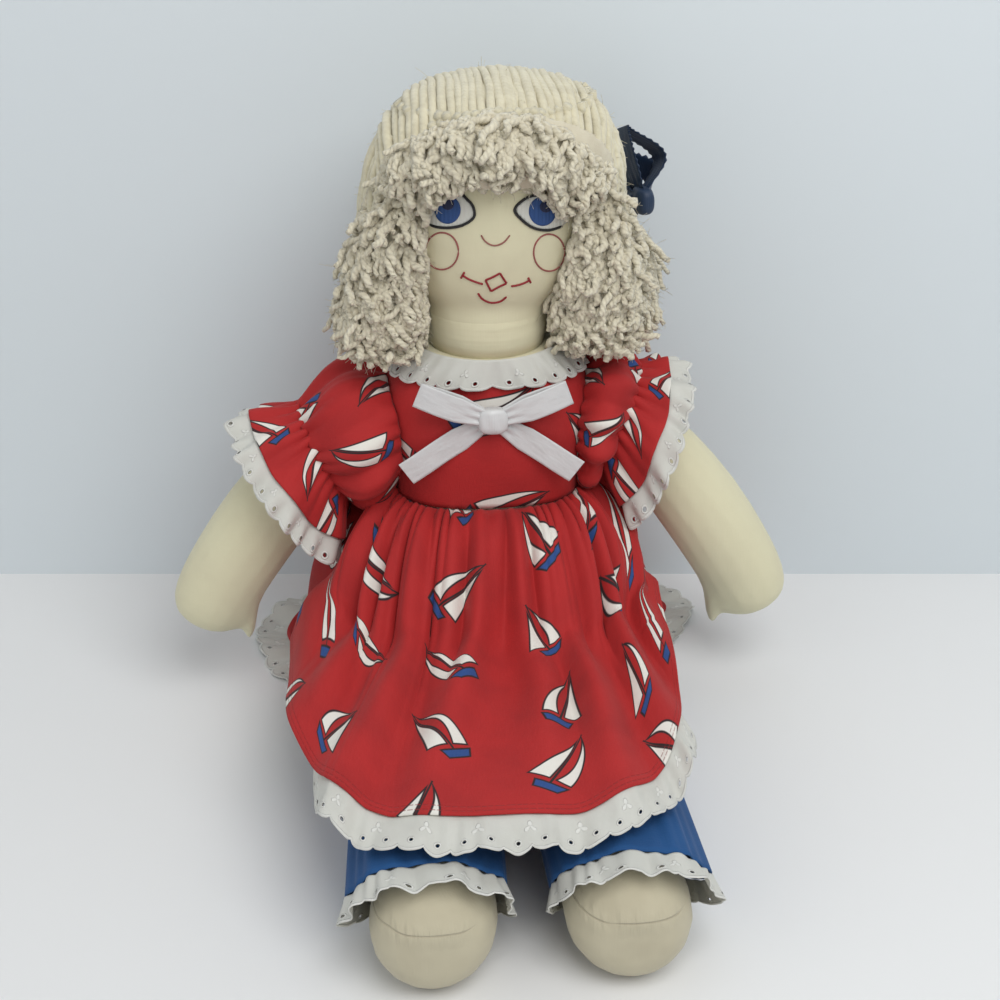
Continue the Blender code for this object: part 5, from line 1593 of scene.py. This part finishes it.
    def make_curls(self, rng: np.random.Generator, tuft: Tuft, yarn: bpy.types.Material) -> None:
        """A tuft of short crimped curls that overlap as they hang."""
        base = Bench.restuff(tuft.node, f"{tuft.node}_base", 0.0022, 4, -0.0012)
        Bench.dress(base, yarn, Body.HEAD.value, "yarn")
        tried = tuft.count * 3
        roots, normals = self.scatter(rng, frame["nodes"][tuft.node], tried)
        share = np.linspace(0, 1, 12)
        length = rng.uniform(*tuft.length, (tried, 1))
        flow = np.array([0.0, -0.10, -1.0]) + rng.normal(0, tuft.stray, (tried, 3))
        way = unit(flow - normals * (flow * normals).sum(axis=1, keepdims=True) * 0.85)
        sideways = unit(np.cross(way, normals + rng.normal(0, 0.5, (tried, 3))))
        upright = np.cross(way, sideways)
        turns = length / rng.uniform(*tuft.wave, (tried, 1))
        spin = turns * math.tau * share + rng.uniform(0, math.tau, (tried, 1))
        size = rng.uniform(*tuft.crimp, (tried, 1)) * np.minimum(share * 4, 1.0)
        lift = rng.uniform(*tuft.lift, (tried, 1)) * np.sin(share * 2.1) - 0.0022
        bend = rng.normal(0, 0.22, (tried, 1)) * share**2 * length
        paths = (
            roots[:, None]
            + way[:, None] * (length * share)[:, :, None]
            + normals[:, None] * lift[:, :, None]
            + sideways[:, None] * (size * np.cos(spin) + bend)[:, :, None]
            + upright[:, None] * (size * 0.55 * np.sin(spin * 1.15))[:, :, None]
        )
        paths = paths[self.kept(tuft, paths)][: tuft.count]
        taper = 0.55 + 0.45 * np.sin(math.pi * (0.15 + 0.75 * share)) ** 0.5
        beads = 1 + 0.10 * np.sin(spin[: len(paths)] * 2.0)
        radii = tuft.radius * rng.uniform(0.72, 1.12, (len(paths), 1)) * taper * beads
        piece = Bench.tubes(f"{tuft.node}_curls", paths, radii, 5)
        Bench.dress(piece, yarn, Body.HEAD.value, "yarn", tuft.node)
        chosen = rng.integers(0, len(paths), self.loose_fibres)
        ends = paths[chosen, rng.integers(4, 12, self.loose_fibres)]
        out = unit(ends - np.array(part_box(tuft.node)[0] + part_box(tuft.node)[1]) / 2)
        self.add_fuzz(rng, f"{tuft.node}_fuzz", ends, out, yarn)

    @staticmethod
    def scatter(rng: np.random.Generator, solid: bpy.types.Object,
                count: int) -> tuple[np.ndarray, np.ndarray]:
        """Places and normals spread evenly over a solid's faces."""
        mesh = solid.data
        mesh.calc_loop_triangles()
        faces = [tuple(face.vertices) for face in mesh.loop_triangles]
        corners = np.array([[mesh.vertices[index].co for index in face] for face in faces])
        cross = np.cross(corners[:, 1] - corners[:, 0], corners[:, 2] - corners[:, 0])
        area = np.linalg.norm(cross, axis=1)
        chosen = rng.choice(len(area), count, p=area / area.sum())
        a, b = rng.uniform(0, 1, (2, count))
        flip = a + b > 1
        a, b = np.where(flip, 1 - a, a), np.where(flip, 1 - b, b)
        face = corners[chosen]
        places = face[:, 0] + (face[:, 1] - face[:, 0]) * a[:, None] + (face[:, 2] - face[:, 0]) * b[:, None]
        return places, unit(cross[chosen])


@dataclass
class Dress:
    """The printed dress: bodice, skirt, sleeves, and the lace along their edges."""

    trunk: Trunk = Trunk()
    form: SkirtForm = SkirtForm()
    cloth: float = 0.0008
    skirt_flat: tuple = (0.84, 0.21)
    print_fullness: float = 1.05
    print_spread: float = 0.30
    neck_scallops: int = 24
    hem_scallops: int = 92
    cuff_scallops: int = 26

    def build(self) -> None:
        """Makes the dress."""
        cotton = BoatPrint().build()
        hemmed = BoatPrint("boat_print_hemmed", stitch_rows=(0.0032, 0.0066)).build()
        self.make_bodice(cotton)
        self.make_neck_lace()
        self.make_skirt(hemmed)
        self.make_hem_lace()
        for side in Side:
            self.make_sleeve(SleeveForm(side), cotton)

    def make_bodice(self, cotton: bpy.types.Material) -> None:
        """The bodice, open at the neck, the waist and both arms."""

        def form(u: np.ndarray, v: np.ndarray) -> np.ndarray:
            """Places from the neckline to the waist."""
            height = self.trunk.neckline + (self.trunk.waist - self.trunk.neckline) * v
            return self.trunk.ring(u, height, EASE)

        smooth = raised(form, Ripples(5, 6, (2, 7), (-1.5, 1.5), 0.0004))
        piece = Bench.lay("bodice_cloth", 120, 30, smooth, (0.36, -0.095))
        Bench.thicken(piece, CLOTH)
        self.cut_armholes(piece)
        Bench.dress(piece, cotton, Body.TRUNK.value, "dress_cotton", "bodice")

    @staticmethod
    def cut_armholes(piece: bpy.types.Object) -> None:
        """Cuts both armholes."""
        for side in Side:
            bpy.ops.object.select_all(action="DESELECT")
            place = (side.sign * 0.28, 0, 0.184)
            bpy.ops.mesh.primitive_cylinder_add(vertices=48, radius=1.0, depth=0.5, location=place,
                                                rotation=(0, math.pi / 2, 0), scale=(0.0308, 0.0288, 1.0))
            hole = bpy.context.object
            cut = piece.modifiers.new("armhole", "BOOLEAN")
            cut.operation = "DIFFERENCE"
            cut.solver = "EXACT"
            cut.object = hole
            Bench.apply(piece)
            bpy.data.objects.remove(hole, do_unlink=True)

    def make_neck_lace(self) -> None:
        """The lace that lies round the neckline."""

        def form(u: np.ndarray, v: np.ndarray) -> np.ndarray:
            """Places from the neck to the scalloped edge."""
            height = self.trunk.neckline - v * 0.0175
            level = height + FIT + CLOTH * (1 - v)
            return self.trunk.ring(u, height, EASE + CLOTH + 3 * FIT, level)

        def lift(u: np.ndarray, v: np.ndarray) -> np.ndarray:
            """Soft waves towards the edge."""
            return 0.0024 * v * pleats(u, 9, 11) + 0.0014 * pleats(u, 34, 12) * (0.3 + v) * 0.8

        depth = 0.0185
        laid = scalloped(raised(form, lift), self.neck_scallops, 0.13)
        flat = (self.neck_scallops * SCALLOP, depth)
        piece = Bench.lay("neck_lace_cloth", self.neck_scallops * 12, 14, laid, flat)
        Bench.thicken(piece, 0.0006)
        lace = Eyelet("neck_eyelet", depth=depth).build()
        Bench.dress(piece, lace, Body.TRUNK.value, "eyelet_lace", "neck_lace")

    def skirt_lift(self, u: np.ndarray, v: np.ndarray) -> np.ndarray:
        """How far the folds stand off the smooth skirt."""
        broad = self.form.fold * eased(v * 2) * (0.5 + 0.5 * np.cos(math.tau * u * self.form.folds))
        fade = 7.0 + 5.0 * Ripples(24, 6, (9, 40), (0.0, 0.0), 1.0)(u, v)
        gathers = 0.0052 * pleats(u, 52, 21, 0.6) * eased(v / 0.04) * np.exp(-v * np.maximum(fade, 2.6))
        wander = u + 0.006 * np.sin(v * 7.0 + u * 40.0)
        middle = 0.0095 * pleats(wander, 23, 22, 0.7) * eased(v / 0.14) * np.exp(-((v - 0.26) ** 2) / 0.055)
        slack = 0.0105 * pleats(u + 0.04 * v, 15, 25) * eased(v / 0.3) * np.exp(-((v - 0.60) ** 2) / 0.10)
        rough = Ripples(23, 10, (3, 14), (-2.5, 2.5), 0.0036)(u, v) * eased(v * 2.5) * (1 - 0.55 * v)
        return np.maximum(broad + gathers + middle + slack + rough, 0.0)

    def skirt_form(self, u: np.ndarray, v: np.ndarray) -> np.ndarray:
        """Places on the folded skirt."""
        place = self.form.point(u, v) + self.form.normal(u, v) * self.skirt_lift(u, v)[:, None]
        place[:, 2] = np.maximum(place[:, 2], self.form.hem_lift)
        return place

    def make_skirt(self, cotton: bpy.types.Material) -> None:
        """The gathered skirt."""
        piece = Bench.lay("skirt_cloth", 560, 72, self.skirt_form, self.skirt_flat)
        self.map_skirt(piece)
        Bench.thicken(piece, self.cloth)
        Bench.dress(piece, cotton, Body.TRUNK.value, "dress_cotton", "skirt")

    def map_skirt(self, piece: bpy.types.Object) -> None:
        """Maps the skirt by metres along the cloth from its front middle, and by metres up from its hem."""
        turns = np.linspace(0, 1, 181)
        shares = np.linspace(0, 1, 60)
        grid_u, grid_v = np.meshgrid(turns, shares, indexing="ij")
        places = self.form.point(grid_u.ravel(), grid_v.ravel()).reshape(181, 60, 3)
        down, around = run_along(places, 1), run_along(places, 0)
        even = around[:, 27:28] * (1 - self.print_spread) + around * self.print_spread
        grids = ((even - even[135]) * self.print_fullness, down[:, -1:] - down)
        layer = piece.data.uv_layers.active
        flat = np.empty(len(layer.data) * 2)
        layer.data.foreach_get("uv", flat)
        flat = flat.reshape(-1, 2)
        column = np.clip(flat[:, 0] / self.skirt_flat[0] * 180, 0, 180)
        row = np.clip(flat[:, 1] / self.skirt_flat[1] * 59, 0, 59)
        low = np.minimum(column.astype(int), 179)
        under = np.minimum(row.astype(int), 58)
        a, b = column - low, row - under
        for part, grid in enumerate(grids):
            flat[:, part] = (
                grid[low, under] * (1 - a) * (1 - b)
                + grid[low + 1, under] * a * (1 - b)
                + grid[low, under + 1] * (1 - a) * b
                + grid[low + 1, under + 1] * a * b
            )
        Bench.map(layer, flat)

    def make_hem_lace(self) -> None:
        """The gathered lace under the skirt's hem."""
        depth = 0.023
        tuck = 0.006

        def form(u: np.ndarray, v: np.ndarray) -> np.ndarray:
            """Places from the hem to the scalloped edge."""
            turn, one = self.form.spaced(u), np.ones_like(u)
            turned = self.form.turned_in(turn)
            beyond = FIT - tuck + v * (depth + tuck) * (1 - 1.30 * turned)
            base = self.form.point(turn, one, beyond)
            level = self.form.point(turn, one)[:, 2] - base[:, 2]
            base[:, 2] += level * turned * v - depth * 0.85 * v * turned
            fold = self.skirt_lift(turn, one - tuck / self.form.front) * (1 - turned)
            frill = 0.0050 * (pleats(u, 34, 31, 0.8) - 0.5) * eased(v * 1.2 - 0.15)
            frill = frill + 0.0014 * (pleats(u, 90, 32) - 0.5) * eased(v * 2)
            place = base + self.form.normal(turn, one, beyond) * (fold - FIT + frill)[:, None]
            ground = 0.0006 + 0.0020 * pleats(u, 34, 31)
            place[:, 2] = np.maximum(place[:, 2] - self.form.lace_droop * v, ground)
            return place

        laid = scalloped(form, self.hem_scallops, 0.11)
        flat = (self.hem_scallops * SCALLOP, depth + tuck)
        piece = Bench.lay("hem_lace_cloth", self.hem_scallops * 11, 14, laid, flat)
        Bench.thicken(piece, LACE, -1.0)
        lace = Eyelet("hem_eyelet", depth=depth + tuck).build()
        Bench.dress(piece, lace, Body.TRUNK.value, "eyelet_lace", "hem_lace")

    def make_sleeve(self, form: SleeveForm, cotton: bpy.types.Material) -> None:
        """A puffed sleeve with its flare and lace."""
        side = form.side
        shoulder, arm = Body.limb("shoulder", side), Body.limb("arm", side)
        seed = 40 if side is Side.LEFT else 60

        def puff_lift(u: np.ndarray, v: np.ndarray) -> np.ndarray:
            """Gathers at both ends and soft folds between them."""
            near = np.exp(-v * 5) + np.exp(-(1 - v) * 4)
            ends = 0.0034 * pleats(u, 24, seed, 0.7) * near * eased(v / 0.04)
            body = 0.0058 * pleats(u + 0.02 * v, 10, seed + 1, 0.8) * np.sin(math.pi * v)
            return ends + body + Ripples(seed + 2, 6, (2, 6), (-1.5, 1.5), 0.0008)(u, v) * np.sin(math.pi * v)

        def flare_lift(u: np.ndarray, v: np.ndarray) -> np.ndarray:
            """Gathers at the elastic that open into broad waves."""
            close = 0.0036 * pleats(u, 26, seed + 3, 0.7) * np.exp(-v * 2.2)
            return close + 0.0056 * pleats(u, 8, seed + 4) * eased(v)

        def lace_lift(u: np.ndarray, v: np.ndarray) -> np.ndarray:
            """The flare's waves with a frill of their own."""
            frill = 0.0048 * pleats(u, 21, seed + 5, 0.8) * eased(v * 1.3 - 0.1)
            return 0.0056 * pleats(u, 8, seed + 4) + frill

        puff = Bench.lay(f"sleeve_{side.value}_puff", 220, 44,
                         mirrored(raised(form.puffed, puff_lift), side), (0.36, 0.062))
        Bench.thicken(puff, self.cloth)
        hinge = frame["record"]["behaviour"]["joints"]
        seam = next(joint["pos_m"] for joint in hinge if joint["name"] == f"arm_lift_{side.value}")
        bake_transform(puff, Body.TRUNK.value, shoulder, start=(seam[0], seam[1], seam[2]), end=form.centre(0.0))
        Bench.dress(puff, cotton, shoulder, "dress_cotton", f"sleeve_{side.value}")

        flare = Bench.lay(f"sleeve_{side.value}_flare", 260, 22,
                          mirrored(raised(form.flared, flare_lift), side), (0.42, 0.032))
        Bench.thicken(flare, self.cloth)
        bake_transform(flare, shoulder, arm, start=form.centre(0.0), end=form.centre(1.0))
        Bench.dress(flare, cotton, arm, "dress_cotton", f"sleeve_ruffle_{side.value}")

        depth = 0.017
        count = self.cuff_scallops
        laid = mirrored(scalloped(raised(form.laced, lace_lift), count, 0.13), side)
        lace = Bench.lay(f"sleeve_{side.value}_lace", count * 11, 12, laid, (count * SCALLOP, depth))
        Bench.thicken(lace, LACE, -1.0)
        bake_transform(lace, shoulder, arm, start=form.centre(0.0), end=form.centre(1.0))
        eyelet = Eyelet(f"cuff_eyelet_{side.value}", depth=depth).build()
        Bench.dress(lace, eyelet, arm, "eyelet_lace", f"sleeve_lace_{side.value}")


@dataclass
class Pants:
    """The blue pants with lace at the ankles."""

    form: PantsForm = PantsForm()
    scallops: int = 16

    def build(self) -> None:
        """Makes the pants."""
        cotton = PlainCotton().build()
        self.make_seat(cotton)
        for side in Side:
            self.make_leg(side, cotton)

    def make_seat(self, cotton: bpy.types.Material) -> None:
        """The seat of the pants, in the shape of its solid."""
        piece = bpy.data.objects.new("pants_seat_cloth", frame["nodes"]["pants_seat"].data.copy())
        bpy.context.scene.collection.objects.link(piece)
        Bench.merge(piece)
        piece.data.shade_smooth()
        Bench.take(piece)
        bpy.ops.object.shade_smooth_by_angle(angle=math.radians(40))
        if not piece.data.uv_layers:
            piece.data.uv_layers.new(name="flat")
        Bench.dress(piece, cotton, Body.TRUNK.value, "pants_cotton", "pants_seat")

    def make_leg(self, side: Side, cotton: bpy.types.Material) -> None:
        """One leg of the pants and its ankle lace."""
        leg = Body.limb("leg", side)
        seed = 80 if side is Side.LEFT else 90

        def lift(u: np.ndarray, v: np.ndarray) -> np.ndarray:
            """Soft folds round the leg."""
            rise = eased((np.sin(math.tau * u) + 1.1) / 1.6)
            folds = 0.0022 * pleats(u, 7, seed) + 0.0010 * pleats(u, 22, seed + 1) * v
            return rise * eased(v / 0.1) * folds

        form = mirrored(raised(self.form.leg, lift), side)
        piece = Bench.lay(f"pants_leg_{side.value}_cloth", 160, 60, form, (0.26, 0.225))
        Bench.thicken(piece, 0.0008)
        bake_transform(piece, Body.TRUNK.value, leg, start=(side.sign * 0.040, -0.034, 0.030),
                 end=(side.sign * 0.042, -0.085, 0.032))
        Bench.dress(piece, cotton, leg, "pants_cotton", f"pants_leg_{side.value}")

        depth = 0.021

        def frill(u: np.ndarray, v: np.ndarray) -> np.ndarray:
            """Frills that grow towards the edge, on the upper side."""
            rise = eased((np.sin(math.tau * u) + 1.1) / 1.4)
            close = 0.0016 * pleats(u, 24, seed + 2, 0.7)
            return (0.0022 * pleats(u, 7, seed) + close + 0.0050 * pleats(u, 10, seed + 3, 0.8) * v) * rise

        laid = mirrored(scalloped(raised(self.form.lace, frill), self.scallops, 0.10), side)
        flat = (self.scallops * SCALLOP, depth)
        lace = Bench.lay(f"pants_lace_{side.value}_cloth", self.scallops * 14, 14, laid, flat)
        Bench.thicken(lace, LACE, -1.0)
        eyelet = Eyelet(f"ankle_eyelet_{side.value}", depth=depth).build()
        Bench.dress(lace, eyelet, leg, "eyelet_lace", f"pants_lace_{side.value}")


@dataclass
class Bow:
    """A tied ribbon bow: a knot, two loops and two tails."""

    prefix: str
    frame: Matrix
    width: float
    loop: float
    tail: float
    depth: float
    angles: tuple
    body: str
    slot: str
    finish: bpy.types.Material
    swells: tuple = (0.0018, 0.0018)
    leans: tuple = (0.0, 0.0)
    drops: tuple = (0.44, 0.30)
    picot: float = 0.0
    thickness: float = 0.0006

    def build(self) -> None:
        """Ties the bow."""
        self.make_knot()
        for name, angle, lean in zip(("right", "left"), self.angles[:2], self.leans):
            self.make_strip(f"{self.prefix}_loop_{name}", angle, self.loop_line(lean), 2 * self.loop)
        for name, angle, drop in zip(("right", "left"), self.angles[2:], self.drops):
            self.make_strip(f"{self.prefix}_tail_{name}", angle, self.tail_line(drop), self.tail)

    def world(self, places: np.ndarray) -> np.ndarray:
        """Places in the row frame from places in the bow's own frame."""
        matrix = np.array(self.frame)
        return places @ matrix[:3, :3].T + matrix[:3, 3]

    def loop_line(self, lean: float) -> Line:
        """Distance, lift and width share along a loop whose tip leans in."""

        def line(share: np.ndarray) -> tuple[np.ndarray, np.ndarray, np.ndarray]:
            """The three at shares of the loop's length."""
            place = 2 * share - 1
            reach = 1 - np.abs(place) ** 1.6
            swell = np.where(place < 0, *self.swells)
            opening = self.depth * 0.11 + swell * np.sin(math.pi * reach**1.3)
            lift = -opening * np.sin(place * math.pi / 2) - lean * reach
            return self.loop * reach, lift, self.pinched(2.5 * reach)

        return line

    def tail_line(self, drop: float) -> Line:
        """Distance, lift and width share along a tail."""
        lift = -self.depth * drop
        return lambda share: (self.tail * share, np.full_like(share, lift), self.pinched(3 * share))

    @staticmethod
    def pinched(share: np.ndarray) -> np.ndarray:
        """The share of the width that is left near the knot."""
        return 0.62 + 0.38 * np.minimum(share, 1.0)

    def make_strip(self, node: str, angle: float, line: Callable, length: float) -> None:
        """One loop or tail."""
        out = np.array([math.cos(angle), math.sin(angle), 0.0])
        edge = np.array([-math.sin(angle), math.cos(angle), 0.0])
        start = self.width * 1.15 * 0.25

        def form(u: np.ndarray, v: np.ndarray) -> np.ndarray:
            """Places along and across the ribbon."""
            distance, lift, share = line(u)
            across = 2 * v - 1
            crease = (1 - eased((share - 0.62) / 0.38)) * 0.0009 * np.cos(across * math.pi * 2.5)
            teeth = 1 + self.picot * (0.5 + 0.5 * np.cos(math.tau * u * length / 0.0029))
            half = self.width * share / 2 * np.where(np.abs(across) > 0.9, teeth, 1.0)
            places = out * (start + distance)[:, None] + edge * (half * across)[:, None]
            places[:, 2] += lift + crease + 0.0004 * np.sin(u * 9.0) * share
            return self.world(places)

        piece = Bench.lay(f"{node}_ribbon", 110, 12, form, (length, self.width))
        Bench.thicken(piece, self.thickness, 0.0)
        Bench.dress(piece, self.finish, self.body, self.slot, node)

    def make_knot(self) -> None:
        """The knot, a wrap of ribbon pulled tight."""
        half = np.array([self.width * 0.575, self.width * 0.525, self.depth / 2])

        def form(u: np.ndarray, v: np.ndarray) -> np.ndarray:
            """Places round the wrap, from its lower to its upper end."""
            turn, rise = math.tau * u, math.pi * (v - 0.5)
            ring = signed(np.cos(rise), 0.55)
            x, z = ring * signed(np.cos(turn), 0.75), ring * signed(np.sin(turn), 0.75)
            y = signed(np.sin(rise), 0.75)
            crease = 1 + 0.05 * np.cos(x * 7.5 + y * 2.0) * ring
            return self.world(np.stack([x, y, z * crease], axis=1) * half)

        piece = Bench.lay(f"{self.prefix}_knot_ribbon", 48, 24, form, (0.03, 0.016))
        piece.data.shade_smooth()
        Bench.dress(piece, self.finish, self.body, self.slot, f"{self.prefix}_knot")


class Bows:
    """The white bow on the chest and the navy bow in the hair."""

    def build(self) -> None:
        """Ties both bows."""
        white = Satin().build()
        navy = Satin("navy_ribbon", (0.010, 0.028, 0.070), 0.5, 0.0008).build()
        trunk = Trunk()
        height = 0.205
        reach = trunk.front(np.array([0.0]), np.array([height - 0.0155 / 2]), EASE + CLOTH)[0]
        chest = self.placed((0, -(reach + FIT + 0.005), height), (0, -1, 0))
        turns = tuple(math.radians(turn) for turn in (158, 20, 214, -36))
        Bow("chest_bow", chest, 0.0155, 0.043, 0.058, 0.010, turns, Body.TRUNK.value, "white_satin",
            white).build()
        low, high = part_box("hair_bow_knot")
        out = Vector((math.cos(math.radians(18)), math.sin(math.radians(18)), 0))
        hair = self.placed(tuple((low + high) / 2), out)
        turns = tuple(math.radians(turn) for turn in (68, 20, -4, -46))
        Bow("hair_bow", hair, 0.0155, 0.040, 0.054, 0.011, turns, Body.HEAD.value, "navy_ribbon", navy,
            swells=(0.021, 0.001), leans=(0.007, 0.0), picot=0.24).build()

    @staticmethod
    def placed(centre: tuple, outward: Sequence[float]) -> Matrix:
        """The frame of a bow from its place and the way that it faces."""
        depth = Vector(outward).normalized()
        right = Vector((0, 0, 1)).cross(depth).normalized()
        turn = Matrix((right, depth.cross(right), depth)).transposed().to_4x4()
        return Matrix.Translation(centre) @ turn


@dataclass
class Room:
    """The pale floor and wall, the soft light and the camera."""

    camera: Camera
    wall: float = 0.128
    key: float = 15.0
    fill: float = 3.0
    world: float = 0.44

    def build(self) -> None:
        """Sets up the room."""
        self.add_sheet("floor", (0, 0, 0), 0.0, (0.80, 0.805, 0.805))
        back = Matrix.Rotation(self.camera.yaw, 3, "Z") @ Vector((0, self.wall, 0))
        self.add_sheet("wall", tuple(back), math.pi / 2, (0.68, 0.735, 0.765))
        self.add_lamp("key_lamp", (0.40, -0.95, 1.40), 1.1, self.key)
        self.add_lamp("fill_lamp", (-1.2, -0.9, 0.9), 1.4, self.fill)
        world = bpy.data.worlds.new("studio")
        world.use_nodes = True
        world.node_tree.nodes["Background"].inputs["Color"].default_value = (1.0, 1.0, 1.0, 1.0)
        world.node_tree.nodes["Background"].inputs["Strength"].default_value = self.world
        bpy.context.scene.world = world
        bpy.context.scene.view_settings.view_transform = "Standard"
        self.camera.build()

    def add_sheet(self, name: str, place: tuple, tip: float, colour: tuple) -> None:
        """A large plain sheet that isn't part of the doll."""
        bpy.ops.object.select_all(action="DESELECT")
        bpy.ops.mesh.primitive_plane_add(size=8.0, location=place, rotation=(tip, 0, self.camera.yaw))
        sheet = bpy.context.object
        sheet.name = name
        paint = Paint(f"{name}_paper")
        soft = paint.noise(paint.objects(), 1.2, 2.0)
        colour = paint.mix(soft * 0.12, colour, tuple(part * 0.9 for part in colour))
        sheet.data.materials.append(paint.finish(colour, 0.9))

    @staticmethod
    def add_lamp(name: str, place: tuple, size: float, power: float) -> None:
        """A square soft lamp that faces the doll."""
        data = bpy.data.lights.new(name, "AREA")
        data.size = size
        data.energy = power
        lamp = bpy.data.objects.new(name, data)
        lamp.location = place
        lamp.rotation_euler = (Vector((0, -0.05, 0.15)) - Vector(place)).to_track_quat("-Z", "Y").to_euler()
        bpy.context.scene.collection.objects.link(lamp)


def write_sizes() -> None:
    """Updates the view layer."""
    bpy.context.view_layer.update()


def main() -> None:
    """Dresses the doll."""
    logging.basicConfig(level=logging.INFO, format="%(message)s")
    camera = Camera()
    Room(camera).build()
    stuffing = Stuffing()
    stuffing.build()
    Face(camera, stuffing.head).build()
    Hair(camera).build()
    Dress().build()
    Pants().build()
    Bows().build()
    write_sizes()


if __name__ == "__main__":
    main()
